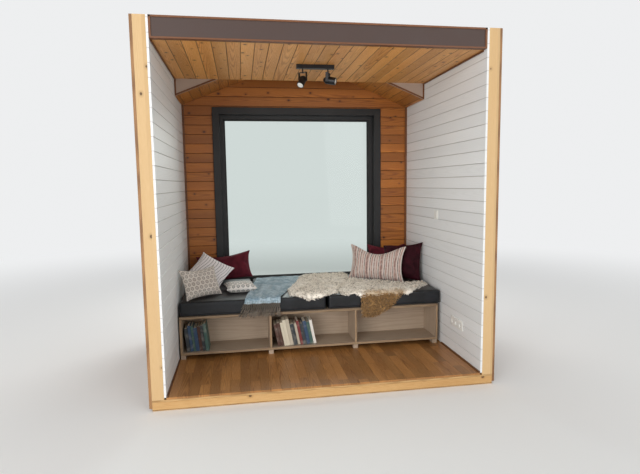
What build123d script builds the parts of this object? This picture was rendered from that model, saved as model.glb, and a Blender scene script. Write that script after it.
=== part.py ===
"""Window seat bay of a tiny house on wheels.

The end of the room with its picture window, the two side walls up to the front of
the loft, the low gable roof over the bay, the loft deck in front of it, the built-in
bench with its pads, pillows and fleeces, and the twin spotlight under the deck.

All sizes are in millimetres. The room is drawn with X across it, Y out through the
end wall from that wall's inner face, and Z up from the top of the floor. The pieces
are moved as they are written, so that the origin lies under the middle of the part.
"""

from build123d import *
from math import cos, radians, sin, tan
import os

# Room and walls
room_width = 2280.0
room_depth = 1700.0
wall_core = 80.0
wall_lining = 15.0
wall_cladding = 20.0
ceiling_height = 2360.0
cladding_clearance = 20.0

# Floor
floor_boards = 14.0
floor_cassette = 76.0

# Bay roof, with its soffits meeting the side walls a little below the loft ceiling
bay_depth = 500.0
eaves_drop = 147.0
roof_pitch = 22.0
roof_core = 100.0
roof_lining = 15.0
roof_covering = 20.0
eaves_overhang = 20.0
verge_overhang = 40.0
verge_board = 22.0
verge_board_height = 150.0
ridge_cap_width = 240.0
ridge_cap_sheet = 4.0
end_board = 15.0

# Loft deck
ceiling_boards = 15.0
joist_height = 105.0
joist_width = 60.0
joist_count = 4
deck_boards = 20.0
beam_thickness = 39.0
beam_trim = 6.0
beam_trim_height = 10.0
beam_trim_width = 14.0

# Picture window
casing_outer_width = 1710.0
casing_head_gap = 17.0
casing_foot_gap = 5.0
casing_width = 70.0
casing_thickness = 18.0
reveal_depth = 52.0
window_frame_width = 63.0
window_frame_depth = 55.0
glass_thickness = 24.0
glass_rebate = 12.0
glass_setback = 22.0
casing_chamfer = 3.0
frame_chamfer = 8.0
sill_projection = 15.0
sill_height = 30.0

# Bench
bench_depth = 985.0
bench_height = 360.0
bench_left_gap = 13.0
bench_right_gap = 42.0
bench_back_gap = 20.0
bench_board = 18.0
bench_bays = 3
cubby_depth = 285.0
foot_height = 40.0
foot_length = 60.0
foot_width = 40.0

# Seat pads
pad_height = 122.5
pad_wall_gap = 5.0
pad_back_gap = 19.0
pad_seam = 3.0
pad_seams_from_left = (620.0, 1240.0)
pad_round = 12.0
soft_gap = 0.3

# Pillows, with the places of their feet, their turns, how far they lean, and how far they are
# rolled in their own plane. Each place is the distance from the nearer side wall and the
# distance from the end wall.
pillow_width = 400.0
pillow_height = 380.0
pillow_thickness = 105.0
low_pillow_width = 360.0
low_pillow_height = 270.0
low_pillow_thickness = 90.0
small_pillow_width = 340.0
small_pillow_height = 320.0
small_pillow_thickness = 100.0
broad_pillow_width = 540.0
broad_pillow_height = 300.0
long_pillow_width = 580.0
long_pillow_height = 350.0
lying_pillow_width = 270.0
lying_pillow_thickness = 85.0
wall_side_place = (215.0, bench_depth - 162.5)
lined_place = (282.0, 632.5)
dark_left_place = (352.0, 247.5)
striped_place = (465.0, 445.0)
dark_wall_place = (212.0, 465.0)
dark_back_place = (280.0, 282.0)
lying_place = (510.0, 612.5)
pillow_turns = {
    "wall_side": 38.0, "lined": 14.0, "dark_left": -4.0, "striped": -36.0, "dark_wall": -36.0,
    "dark_back": -10.0, "lying": 8.0,
}
pillow_leans = {
    "wall_side": 24.0, "lined": 45.0, "dark_left": 36.0, "striped": 12.0, "dark_wall": 10.0, "dark_back": 35.0,
}
pillow_rolls = {"lined": -40.0, "dark_left": 7.0}

# Throw and fleeces. An outline's points are distances from one side wall and the end wall.
throw_thickness = 8.0
throw_drop = 155.0
throw_from_left = (
    (680.0, 80.0), (1140.0, 60.0), (843.0, bench_depth), (500.0, bench_depth), (570.0, 852.0), (632.0, 752.0),
    (640.0, 442.0),
)
fleece_thickness = 30.0
middle_fleece_from_left = (
    (1240.0, bench_depth), (1010.0, bench_depth), (945.0, 912.0), (940.0, 742.0), (1005.0, 512.0),
    (1152.0, 57.0),
)
middle_fleece_from_right = (
    (690.0, 30.0), (690.0, 182.0), (720.0, 222.0), (720.0, 350.0), (805.0, 602.0), (905.0, 827.0), (970.0, 922.0),
)
right_fleece_from_right = (
    (700.0, 350.0), (260.0, 670.0), (60.0, 670.0), (50.0, 705.0), (300.0, bench_depth),
    (870.0, bench_depth), (900.0, 902.0), (893.0, 832.0), (793.0, 607.0),
)
fleece_drop_thickness = 15.0
hide_drop = 200.0
hide_from_right = (
    (735.0, fleece_thickness), (355.0, fleece_thickness), (391.0, -10.0), (491.0, -120.0), (625.0, -hide_drop),
    (730.0, 5.0 - hide_drop),
)

# Twin spotlight
rail_length = 300.0
rail_width = 45.0
rail_height = 30.0
rail_centre = (10.0, -1100.0)
rail_round = 8.0
stem_spacing = 200.0
stem_radius = 5.0
stem_length = 34.0
stem_flange_radius = 8.0
stem_flange = 3.0
swivel_gap = 0.3
yoke_sheet = 3.0
yoke_arm = 54.0
yoke_width = 22.0
head_radius = 29.0
head_front = 65.0
head_back = 35.0
head_side_gap = 3.0
head_recess = 8.0
head_recess_radius = 25.0
head_neck = 22.0
head_cap_radius = 13.0
head_edge = 3.0
pivot_radius = 3.0
pivot_gap = 0.3
pivot_bite = 4.0
spot_turns = {"left": -40.0, "right": 65.0}
spot_tilts = {"left": 50.0, "right": 12.0}

# Corner trims and wall plates
corner_trim = 18.0
switch_size = 80.0
switch_plate = 8.0
switch_rocker = 52.0
switch_rocker_stand = 4.0
switch_place = (-830.0, 1140.0)
socket_size = 80.0
socket_count = 3
socket_pitch = 71.0
socket_place = (-1290.0, 270.0)
socket_recess_radius = 20.0
socket_recess = 5.0

# Sizes worked out from the ones above
half_room = room_width / 2
eaves_height = ceiling_height - eaves_drop
casing_top = eaves_height - casing_head_gap
casing_bottom = bench_height + casing_foot_gap
core_face = half_room + wall_lining
core_back = core_face + wall_core
cladding_back = core_back + wall_cladding
roof_half = cladding_back + eaves_overhang
end_core_face = wall_lining
end_core_back = end_core_face + wall_core
end_cladding_back = end_core_back + wall_cladding
verge = end_cladding_back + verge_overhang
bay_front = -bay_depth
roof_front = bay_front + end_board
front = -room_depth
deck_top = ceiling_height + ceiling_boards + joist_height + deck_boards
floor_under = -floor_boards - floor_cassette
cladding_start = floor_under + cladding_clearance
slope = tan(radians(roof_pitch))
steep = 1 / cos(radians(roof_pitch))
to_frame = Pos(0, -(front + verge) / 2, -floor_under)


def block(x0, x1, y0, y1, z0, z1):
    """A square-edged board or block between two corners."""
    size = Box(x1 - x0, y1 - y0, z1 - z0)
    return Pos((x0 + x1) / 2, (y0 + y1) / 2, (z0 + z1) / 2) * size


def plate_across(outline, y0, y1):
    """A plate whose outline is drawn in X and Z, from y0 to y1."""
    face = make_face(Polyline(*[(x, y0, z) for x, z in outline], close=True))
    return extrude(face, amount=y1 - y0, dir=(0, 1, 0))


def plate_flat(outline, z0, z1):
    """A plate whose outline is drawn in X and Y, from z0 to z1."""
    face = make_face(Polyline(*[(x, y, z0) for x, y in outline], close=True))
    return extrude(face, amount=z1 - z0, dir=(0, 0, 1))


def ring(x, z0, z1, width, y0, y1):
    """A rectangular surround with outer half width x, and members as wide as given."""
    outer = block(-x, x, y0, y1, z0, z1)
    inner = block(-x + width, x - width, y0, y1, z0 + width, z1 - width)
    return outer - inner


def slope_height(x, thickness=0.0):
    """Height of the bay's sloping soffit at x, or of a layer that much above it."""
    return eaves_height + (half_room - abs(x)) * slope + thickness * steep


def write(node, *solids):
    """Write one node in the part's own frame."""
    placed = [to_frame * solid for solid in solids]
    shape = placed[0] if len(placed) == 1 else Compound(children=placed)
    export_step(shape, f"parts/{node}.step")


def make_floor():
    """Floor cassette under the walls, and the floor boards between the linings."""
    write("floor_cassette", block(-core_back, core_back, front, end_core_back, floor_under, -floor_boards))
    write("floor_planks", block(-half_room, half_room, front, 0, -floor_boards, 0))


opening_x = casing_outer_width / 2 - casing_width
rough_x = opening_x + casing_thickness
rough_bottom = casing_bottom + casing_width - casing_thickness
rough_top = casing_top - casing_width + casing_thickness


def gable_outline(half_width, bottom, thickness):
    """Five-sided outline under the bay roof, up to the layer that much above the soffit."""
    eave = slope_height(half_width, thickness)
    peak = slope_height(0, thickness)
    return [(-half_width, bottom), (half_width, bottom), (half_width, eave), (0, peak), (-half_width, eave)]


def make_end_wall():
    """Timber core round the window in three parts, with its inner boards."""
    pier_left = block(-core_back, -rough_x, end_core_face, end_core_back, -floor_boards, rough_top)
    pier_right = block(rough_x, core_back, end_core_face, end_core_back, -floor_boards, rough_top)
    write("end_wall_piers", pier_left, pier_right)
    write("end_wall_sill", block(-rough_x, rough_x, end_core_face, end_core_back, -floor_boards, rough_bottom))
    gable = plate_across(gable_outline(core_back, rough_top, roof_lining), end_core_face, end_core_back)
    write("end_wall_gable", gable)
    opening = block(-rough_x, rough_x, 0, end_cladding_back, rough_bottom, rough_top)
    lining = plate_across(gable_outline(half_room, 0, roof_lining), 0, wall_lining)
    write("end_wall_lining", lining - opening)
    cladding = plate_across(
        gable_outline(cladding_back, cladding_start, roof_lining), end_core_back, end_cladding_back
    )
    write("end_cladding", cladding - opening)


def side_wall(side, inner, outer, y0, y1, bottom, top=None):
    """One layer of a side wall, cut to the roof's underside unless it has a level top."""
    top_inner = slope_height(inner, roof_lining) if top is None else top
    top_outer = slope_height(outer, roof_lining) if top is None else top
    outline = [(inner, bottom), (outer, bottom), (outer, top_outer), (inner, top_inner)]
    return plate_across([(side * x, z) for x, z in outline], y0, y1)


def make_side_walls():
    """Cores of the side walls under the bay roof and beside the loft, with their boards."""
    linings = []
    claddings = []
    for name, side in (("left", -1), ("right", 1)):
        bay = side_wall(side, core_face, core_back, roof_front, end_core_face, -floor_boards)
        room = side_wall(side, core_face, core_back, front, roof_front, -floor_boards, deck_top)
        write(f"{name}_bay_wall", bay)
        write(f"{name}_room_wall", room)
        bay_lining = side_wall(side, half_room, core_face, roof_front, 0, 0)
        room_lining = side_wall(side, half_room, core_face, front, roof_front, 0, deck_top)
        linings.append(bay_lining + room_lining)
        bay_cladding = side_wall(side, core_back, cladding_back, roof_front, end_core_back, cladding_start)
        room_cladding = side_wall(side, core_back, cladding_back, front, roof_front, cladding_start, deck_top)
        claddings.append(bay_cladding + room_cladding)
    write("side_linings", *linings)
    write("side_claddings", *claddings)


def roof_layer(side, reach, low, high):
    """Outline of one slope's layer, between two thicknesses above the soffit."""
    outline = [
        (0, slope_height(0, low)),
        (reach, slope_height(reach, low)),
        (reach, slope_height(reach, high)),
        (0, slope_height(0, high)),
    ]
    return [(side * x, z) for x, z in outline]


def make_roof():
    """Two sloping slabs with their soffits, covering, verge boards and ridge cap."""
    core_top = roof_lining + roof_core
    covering_top = core_top + roof_covering
    soffits = []
    coverings = []
    verges = []
    for name, side in (("left", -1), ("right", 1)):
        slab = roof_layer(side, cladding_back, roof_lining, core_top)
        write(f"roof_{name}", plate_across(slab, roof_front, end_cladding_back))
        soffits.append(plate_across(roof_layer(side, half_room, 0, roof_lining), roof_front, 0))
        coverings.append(plate_across(roof_layer(side, roof_half, core_top, covering_top), roof_front, verge))
        verge_low = core_top - verge_board_height / steep
        verge_back = end_cladding_back + verge_board
        verges.append(
            plate_across(roof_layer(side, cladding_back, verge_low, core_top), end_cladding_back, verge_back)
        )
    write("bay_soffits", *soffits)
    write("roof_covering", *coverings)
    write("verge_boards", verges[0] + verges[1])
    cap_half = ridge_cap_width / 2
    cap_low = [(x, slope_height(x, covering_top)) for x in (-cap_half, 0, cap_half)]
    cap_high = [(x, slope_height(x, covering_top + ridge_cap_sheet)) for x in (cap_half, 0, -cap_half)]
    write("ridge_cap", plate_across(cap_low + cap_high, roof_front, verge))


def make_roof_end():
    """Boards that close the bay roof's end, under the ceiling and above the deck."""
    joist_under = ceiling_height + ceiling_boards
    reach = half_room - (joist_under - eaves_height) / slope
    corners = [(half_room, eaves_height), (half_room, joist_under), (reach, joist_under)]
    closers = []
    for side in (-1, 1):
        closers.append(plate_across([(side * x, z) for x, z in corners], bay_front, roof_front))
    write("roof_end_boards", *closers)
    top = roof_lining + roof_core + roof_covering
    shoulder = half_room - (deck_top - slope_height(half_room, top)) / slope
    upstand = [
        (-half_room, joist_under), (half_room, joist_under), (half_room, deck_top), (shoulder, deck_top),
        (0, slope_height(0, top)), (-shoulder, deck_top), (-half_room, deck_top),
    ]
    write("loft_end_board", plate_across(upstand, bay_front, roof_front))


def make_loft_deck():
    """Ceiling boards, joists and deck between the walls, behind a beam with thin trims."""
    beam_face = front + beam_trim
    beam_back = beam_face + beam_thickness
    joist_under = ceiling_height + ceiling_boards
    joist_top = joist_under + joist_height
    write("loft_ceiling", block(-half_room, half_room, beam_back, bay_front, ceiling_height, joist_under))
    write("loft_floor", block(-half_room, half_room, beam_back, bay_front, joist_top, deck_top))
    pitch = (bay_front - beam_back - joist_width) / (joist_count - 1)
    joists = []
    for i in range(joist_count):
        y = beam_back + i * pitch
        joists.append(block(-half_room, half_room, y, y + joist_width, joist_under, joist_top))
    write("loft_joists", *joists)
    beam_under = ceiling_height + beam_trim_height
    write("loft_beam", block(-half_room, half_room, beam_face, beam_back, beam_under, deck_top))
    strip = block(-half_room, half_room, front, beam_back, ceiling_height, beam_under)
    trim_inner = half_room - beam_trim_width
    left_end = block(-half_room, -trim_inner, front, beam_face, beam_under, deck_top)
    right_end = block(trim_inner, half_room, front, beam_face, beam_under, deck_top)
    write("loft_beam_trim", strip + left_end + right_end)


def ease_face(surround, face_y, size, inner_only=False):
    """Chamfer the edges of a surround's flat face, or only those round its opening."""
    face = surround.faces().filter_by(Axis.Y).filter_by(lambda f: abs(f.center().Y - face_y) < size / 10)[0]
    edges = face.inner_wires()[0].edges()
    if not inner_only:
        edges = edges + face.outer_wire().edges()
    return chamfer(edges, size)


def make_window():
    """Casing and reveal boards, glazed frame, and the casing and sill outside."""
    casing = ring(casing_outer_width / 2, casing_bottom, casing_top, casing_width, -casing_thickness, 0)
    reveal = ring(rough_x, rough_bottom, rough_top, casing_thickness, 0, reveal_depth)
    write("window_casing", ease_face(casing, -casing_thickness, casing_chamfer) + reveal)
    frame_back = reveal_depth + window_frame_depth
    frame_ring = ring(rough_x, rough_bottom, rough_top, window_frame_width, reveal_depth, frame_back)
    frame_ring = ease_face(frame_ring, reveal_depth, frame_chamfer, inner_only=True)
    frame_ring = ease_face(frame_ring, frame_back, frame_chamfer, inner_only=True)
    glass_x = rough_x - window_frame_width + glass_rebate
    glass_z0 = rough_bottom + window_frame_width - glass_rebate
    glass_z1 = rough_top - window_frame_width + glass_rebate
    glass_y = reveal_depth + glass_setback
    glass = block(-glass_x, glass_x, glass_y, glass_y + glass_thickness, glass_z0, glass_z1)
    write("window_frame", frame_ring - glass)
    write("window_glass", glass)
    outer = ring(
        casing_outer_width / 2, casing_bottom, casing_top, casing_width,
        end_cladding_back, end_cladding_back + casing_thickness,
    )
    sill_back = end_cladding_back + casing_thickness + sill_projection
    sill_top = casing_bottom + casing_width
    sill_front = end_cladding_back + casing_thickness
    sill = block(-rough_x, rough_x, sill_front, sill_back, sill_top - sill_height, sill_top)
    outer = ease_face(outer, end_cladding_back + casing_thickness, casing_chamfer)
    write("outer_casing", outer + sill)


bench_x0 = -half_room + bench_left_gap
bench_x1 = half_room - bench_right_gap
bench_front = -bench_depth
bench_back = -bench_back_gap
base_top = foot_height + bench_board
bench_under_top = bench_height - bench_board
upright_pitch = (bench_x1 - bench_x0 - bench_board) / bench_bays
upright_places = [bench_x0 + i * upright_pitch for i in range(bench_bays + 1)]


def make_bench():
    """Plywood bench: top and base boards, uprights between them, cubby backs and feet."""
    write("bench_top", block(bench_x0, bench_x1, bench_front, bench_back, bench_under_top, bench_height))
    uprights = []
    for x in upright_places:
        uprights.append(block(x, x + bench_board, bench_front, bench_back, base_top, bench_under_top))
    write("bench_uprights", *uprights)
    write("bench_base", block(bench_x0, bench_x1, bench_front, bench_back, foot_height, base_top))
    back_y = bench_front + cubby_depth
    backs = []
    for x in upright_places[:-1]:
        backs.append(
            block(x + bench_board, x + upright_pitch, back_y, back_y + bench_board, base_top, bench_under_top)
        )
    write("bench_backs", *backs)
    feet = []
    half_foot = foot_width / 2
    for x in upright_places:
        middle = min(max(x + bench_board / 2, bench_x0 + half_foot), bench_x1 - half_foot)
        for y in (bench_front + bench_board, bench_back - bench_board - foot_length):
            feet.append(block(middle - half_foot, middle + half_foot, y, y + foot_length, 0, foot_height))
    write("bench_feet", *feet)


pad_x0 = -half_room + pad_wall_gap
pad_x1 = half_room - pad_wall_gap
pad_bottom = bench_height + soft_gap
pad_top = bench_height + pad_height
rest_height = pad_top + soft_gap


def make_pads():
    """Three upholstered pads side by side, with rounded edges."""
    seams = [pad_x0, *[pad_x0 + seam for seam in pad_seams_from_left], pad_x1]
    names = ("seat_pad_left", "seat_pad_middle", "seat_pad_right")
    for i, name in enumerate(names):
        x0 = seams[i] + (pad_seam / 2 if i else 0)
        x1 = seams[i + 1] - (pad_seam / 2 if i < len(names) - 1 else 0)
        pad = block(x0, x1, bench_front, -pad_back_gap, pad_bottom, pad_top)
        write(name, fillet(pad.edges(), pad_round))


def pillow(width, height, thickness):
    """A pillow lying flat, full at the middle and thin along its seam."""
    steps = ((-0.5, 0.5), (-0.34, 0.84), (0, 1), (0.34, 0.84), (0.5, 0.5))
    sections = [Pos(0, 0, rise * thickness) * Rectangle(width * share, height * share) for rise, share in steps]
    return loft(sections, ruled=True)


def from_wall(side, places):
    """Points in X and Y for places given from one side wall and from the end wall."""
    return [(side * (half_room - across), -out) for across, out in places]


def leaning_pillow(name, size, side, place):
    """A pillow that stands on its bottom edge or corner, rolled, turned and leaning back."""
    width, height, thickness = size
    roll = pillow_rolls.get(name, 0.0)
    rolled = radians(abs(roll))
    middle_rise = (width * sin(rolled) + height * cos(rolled)) / 2
    lying = Rot(0, 0, roll) * pillow(width, height, thickness)
    stood = Rot(90 - pillow_leans[name], 0, 0) * Pos(0, middle_rise, 0) * lying
    x, y = from_wall(side, [place])[0]
    return Pos(x, y, rest_height) * Rot(0, 0, pillow_turns[name]) * stood


def make_pillows():
    """Pillows that lean on each other and the walls, and one that lies flat."""
    square = (pillow_width, pillow_height, pillow_thickness)
    low = (low_pillow_width, low_pillow_height, low_pillow_thickness)
    small = (small_pillow_width, small_pillow_height, small_pillow_thickness)
    broad = (broad_pillow_width, broad_pillow_height, pillow_thickness)
    long = (long_pillow_width, long_pillow_height, pillow_thickness)
    write("pillow_wall_side", leaning_pillow("wall_side", low, -1, wall_side_place))
    write("pillow_lined", leaning_pillow("lined", small, -1, lined_place))
    write("pillow_dark_left", leaning_pillow("dark_left", broad, -1, dark_left_place))
    write("pillow_striped", leaning_pillow("striped", long, 1, striped_place))
    write("pillow_dark_wall", leaning_pillow("dark_wall", square, 1, dark_wall_place))
    write("pillow_dark_back", leaning_pillow("dark_back", square, 1, dark_back_place))
    x, y = from_wall(-1, [lying_place])[0]
    lying = Pos(x, y, rest_height + lying_pillow_thickness / 2) * Rot(0, 0, pillow_turns["lying"])
    write("pillow_lying", lying * pillow(lying_pillow_width, lying_pillow_width, lying_pillow_thickness))


def make_throws():
    """Knitted throw with its drop over the front, two fleeces, and the hide's drop."""
    throw_top = rest_height + throw_thickness
    throw_outline = from_wall(-1, throw_from_left)
    front_x = sorted(x for x, y in throw_outline if y == bench_front)
    drop_back = bench_front - soft_gap
    on_pads = plate_flat(throw_outline, rest_height, throw_top)
    over_edge = block(*front_x, drop_back, bench_front, rest_height, throw_top)
    drop = block(*front_x, drop_back - throw_thickness, drop_back, throw_top - throw_drop, throw_top)
    write("throw", on_pads + over_edge + drop)
    fleece_top = rest_height + fleece_thickness
    middle_outline = from_wall(-1, middle_fleece_from_left) + from_wall(1, middle_fleece_from_right)
    write("fleece_middle", plate_flat(middle_outline, rest_height, fleece_top))
    write("fleece_right", plate_flat(from_wall(1, right_fleece_from_right), rest_height, fleece_top))
    hide_outline = [(half_room - across, rest_height + up) for across, up in hide_from_right]
    write("fleece_drop", plate_across(hide_outline, drop_back - fleece_drop_thickness, drop_back))


rail_under = ceiling_height - rail_height
stem_end = rail_under - stem_length
yoke_under = stem_end + stem_flange + swivel_gap
pivot_height = yoke_under - yoke_arm
yoke_inner = head_radius + head_side_gap


def make_spots():
    """Rail with two stems, and on each stem a yoke that turns and a head that tilts."""
    x, y = rail_centre
    rail = Pos(x, y, rail_under + rail_height / 2) * Box(rail_length, rail_width, rail_height)
    fitting = fillet(rail.edges().filter_by(Axis.Z), rail_round)
    for name, side in (("left", -1), ("right", 1)):
        stem_x = x + side * stem_spacing / 2
        stem = Pos(stem_x, y, (stem_end + rail_under) / 2) * Cylinder(stem_radius, stem_length)
        flange = Pos(stem_x, y, stem_end + stem_flange / 2) * Cylinder(stem_flange_radius, stem_flange)
        fitting = fitting + stem + flange
        place = Pos(stem_x, y, pivot_height) * Rot(0, 0, spot_turns[name])
        write(f"spot_yoke_{name}", place * spot_yoke())
        write(f"spot_head_{name}", place * Rot(spot_tilts[name], 0, 0) * spot_head())
    write("spot_rail", fitting)


def spot_yoke():
    """Bent strip round the head, bored for the stem, with two pivots that point inwards."""
    outer = yoke_inner + yoke_sheet
    top = yoke_arm + yoke_sheet
    arms_end = -yoke_width / 2
    strip = block(-outer, outer, -yoke_width / 2, yoke_width / 2, arms_end, top)
    room = block(-yoke_inner, yoke_inner, -yoke_width / 2, yoke_width / 2, arms_end, yoke_arm)
    strip = strip - room
    strip = strip - Pos(0, 0, yoke_arm + yoke_sheet / 2) * Cylinder(stem_radius + swivel_gap, yoke_sheet)
    reach = head_side_gap + pivot_bite - pivot_gap
    for side in (-1, 1):
        middle = side * (yoke_inner - reach / 2)
        strip = strip + Pos(middle, 0, 0) * Rot(0, 90, 0) * Cylinder(pivot_radius, reach)
    return strip


def spot_head():
    """Turned lamp housing that points along -Y, with a domed back and a recessed face."""
    half_section = make_face(
        Polyline(
            (0, head_back), (head_cap_radius, head_back), (head_radius, head_back - head_neck),
            (head_radius, head_edge - head_front), (head_radius - head_edge, -head_front),
            (head_recess_radius, -head_front), (head_recess_radius, head_recess - head_front),
            (0, head_recess - head_front), close=True,
        )
    )
    head = revolve(half_section, Axis.Y)
    for side in (-1, 1):
        middle = side * (head_radius - pivot_bite / 2)
        head = head - Pos(middle, 0, 0) * Rot(0, 90, 0) * Cylinder(pivot_radius + pivot_gap, pivot_bite)
    return head


def make_fittings():
    """Corner trims on the end wall, the light switch and the triple socket."""
    trims = []
    for side in (-1, 1):
        low, high = sorted((side * (half_room - corner_trim), side * half_room))
        trims.append(block(low, high, -corner_trim, 0, 0, eaves_height))
    write("corner_trims", *trims)
    y, z = switch_place
    half = switch_size / 2
    plate_face = half_room - switch_plate
    plate = block(plate_face, half_room, y - half, y + half, z - half, z + half)
    rocker_half = switch_rocker / 2
    rocker_face = plate_face - switch_rocker_stand
    rocker = block(rocker_face, plate_face, y - rocker_half, y + rocker_half, z - rocker_half, z + rocker_half)
    write("wall_switch", plate + rocker)
    y, z = socket_place
    half_length = (socket_size + (socket_count - 1) * socket_pitch) / 2
    half = socket_size / 2
    sockets = block(plate_face, half_room, y - half_length, y + half_length, z - half, z + half)
    for i in range(socket_count):
        middle = y + (i - (socket_count - 1) / 2) * socket_pitch
        well = Pos(plate_face + socket_recess / 2, middle, z) * Rot(0, 90, 0)
        sockets = sockets - well * Cylinder(socket_recess_radius, socket_recess)
    write("wall_socket", sockets)


os.makedirs("parts", exist_ok=True)
make_floor()
make_end_wall()
make_side_walls()
make_roof()
make_roof_end()
make_loft_deck()
make_window()
make_bench()
make_pads()
make_pillows()
make_throws()
make_spots()
make_fittings()
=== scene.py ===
"""The window seat bay of a tiny house, dressed over its CAD solids.

The sections follow the bay as it is put together: floor, walls, loft and roof, window,
bench, seat pads, pillows, throw and fleeces, then the spotlight and the wall plates.
"""

import math
import random

import bpy
from mathutils import Matrix, Quaternion, Vector, noise


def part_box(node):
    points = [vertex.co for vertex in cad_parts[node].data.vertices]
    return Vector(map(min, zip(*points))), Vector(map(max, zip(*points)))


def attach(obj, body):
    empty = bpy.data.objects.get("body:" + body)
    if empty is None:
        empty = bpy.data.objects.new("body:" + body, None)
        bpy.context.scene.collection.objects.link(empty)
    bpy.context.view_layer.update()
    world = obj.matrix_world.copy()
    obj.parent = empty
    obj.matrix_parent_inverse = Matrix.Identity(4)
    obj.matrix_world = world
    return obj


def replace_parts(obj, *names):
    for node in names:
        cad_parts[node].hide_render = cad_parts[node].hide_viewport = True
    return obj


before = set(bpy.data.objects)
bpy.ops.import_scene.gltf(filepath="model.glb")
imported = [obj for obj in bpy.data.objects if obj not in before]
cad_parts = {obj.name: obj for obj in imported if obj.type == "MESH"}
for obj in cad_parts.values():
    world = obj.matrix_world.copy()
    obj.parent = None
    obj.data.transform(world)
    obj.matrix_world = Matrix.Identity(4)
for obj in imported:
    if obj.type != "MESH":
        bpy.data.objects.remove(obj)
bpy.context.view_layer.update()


# Camera, pale floor and light. The camera looks at the window from left of the room's
# middle. Two big soft lamps stand behind it, and a weaker one outside the window.
yaw, pitch, roll = (math.radians(turn) for turn in (9.110, -6.157, -0.798))
ahead = Vector((math.sin(yaw) * math.cos(pitch), math.cos(yaw) * math.cos(pitch), math.sin(pitch)))
upright_camera = ahead.to_track_quat("-Z", "Y") @ Quaternion((0, 0, 1), roll)
bpy.ops.object.camera_add(location=(-0.599, -4.2435, 1.519), rotation=upright_camera.to_euler())
bpy.context.scene.camera = bpy.context.object
bpy.context.object.data.lens = 27.51
bpy.context.scene.view_settings.view_transform = "Standard"


class Signal:
    """What comes out of a shader node. It adds, multiplies and compares like a number."""

    def __init__(self, tree, socket):
        self.tree, self.socket = tree, socket

    def step(self, operation, *terms):
        """One step of arithmetic on this signal and other signals or numbers."""
        return node(self.tree, "Math", dict(enumerate((self, *terms))), operation=operation)[0]

    def spread(self, low, high, to_low=0.0, to_high=1.0):
        """Stretches a range of values to another."""
        return node(self.tree, "MapRange", {0: self, 1: low, 2: high, 3: to_low, 4: to_high})[0]

    def blend(self, first, second):
        """Mixes two colours, with this signal as the second one's share."""
        return node(self.tree, "Mix", {0: self, 6: first, 7: second}, data_type="RGBA")[2]

    def clouds(self, scale, detail=2.0, **more):
        """Soft noise over this place, so many specks to the metre."""
        return node(self.tree, "TexNoise", {"Vector": self, "Scale": scale, "Detail": detail, **more})[0]

    def parts(self):
        """This place's x, y and z."""
        return node(self.tree, "SeparateXYZ", {0: self})

    def __add__(self, term):
        return self.step("ADD", term)

    def __sub__(self, term):
        return self.step("SUBTRACT", term)

    def __mul__(self, term):
        return self.step("MULTIPLY", term)

    def __truediv__(self, term):
        return self.step("DIVIDE", term)

    def __mod__(self, term):
        return self.step("FLOORED_MODULO", term)

    def __lt__(self, term):
        return self.step("LESS_THAN", term)

    def __gt__(self, term):
        return self.step("GREATER_THAN", term)

    def __floor__(self):
        return self.step("FLOOR")

    def __abs__(self):
        return self.step("ABSOLUTE")


def feed(tree, inputs, sockets):
    """Sets each socket to a value, or joins it to a signal."""
    for name, value in sockets.items():
        if isinstance(value, Signal):
            tree.links.new(value.socket, inputs[name])
        else:
            inputs[name].default_value = value


def node(tree, kind, sockets={}, **settings):
    """A new node, and what comes out of it by number and by name."""
    made = tree.nodes.new("ShaderNode" + kind)
    for name, value in settings.items():
        setattr(made, name, value)
    feed(tree, made.inputs, sockets)
    return {key: Signal(tree, end) for i, end in enumerate(made.outputs) for key in (i, end.name)}


def paint(code, strength=1.0):
    """Colour of a paint chip, from its code, as the shader takes it."""
    chip = [int(code[i : i + 2], 16) / 255 for i in (0, 2, 4)]
    return [(c / 12.92 if c <= 0.04045 else ((c + 0.055) / 1.055) ** 2.4) * strength for c in chip] + [1]


sky_colour, sky_seen, sky_light = paint("f1f2f3"), 0.97, 0.65
studio = bpy.data.worlds.new("studio")
studio.use_nodes = True
bpy.context.scene.world = studio
rays = node(studio.node_tree, "LightPath")
straight = rays["Is Camera Ray"].step("MAXIMUM", rays["Is Transmission Ray"]).step("MAXIMUM", rays["Is Glossy Ray"])
brightness = straight * (sky_seen - sky_light) + sky_light
backdrop = studio.node_tree.nodes["Background"]
feed(studio.node_tree, backdrop.inputs, {"Color": sky_colour, "Strength": brightness})

bpy.ops.mesh.primitive_plane_add(size=120)
ground = bpy.context.object
ground.name = "pale_floor"
ground_paint = bpy.data.materials.new("pale_floor")
ground_paint.use_nodes = True
ground_tree = ground_paint.node_tree
matt = ground_tree.nodes["Principled BSDF"]
feed(ground_tree, matt.inputs, {"Base Color": paint("f1f1ef"), "Roughness": 0.9})
place = node(ground_tree, "TexCoord")["Object"]
off_middle = node(ground_tree, "VectorMath", {0: place}, operation="LENGTH")["Value"]
fade_start, fade_end = 2.2, 9.0
fade = {0: off_middle, 1: fade_start, 2: fade_end}
far = node(ground_tree, "MapRange", fade, interpolation_type="SMOOTHSTEP")[0]
far = far * node(ground_tree, "LightPath")["Is Camera Ray"]
glow = node(ground_tree, "Emission", {"Color": sky_colour, "Strength": sky_seen})[0]
faded = node(ground_tree, "MixShader", {0: far, 1: Signal(ground_tree, matt.outputs[0]), 2: glow})[0]
feed(ground_tree, ground_tree.nodes["Material Output"].inputs, {"Surface": faded})
ground.data.materials.append(ground_paint)

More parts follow.
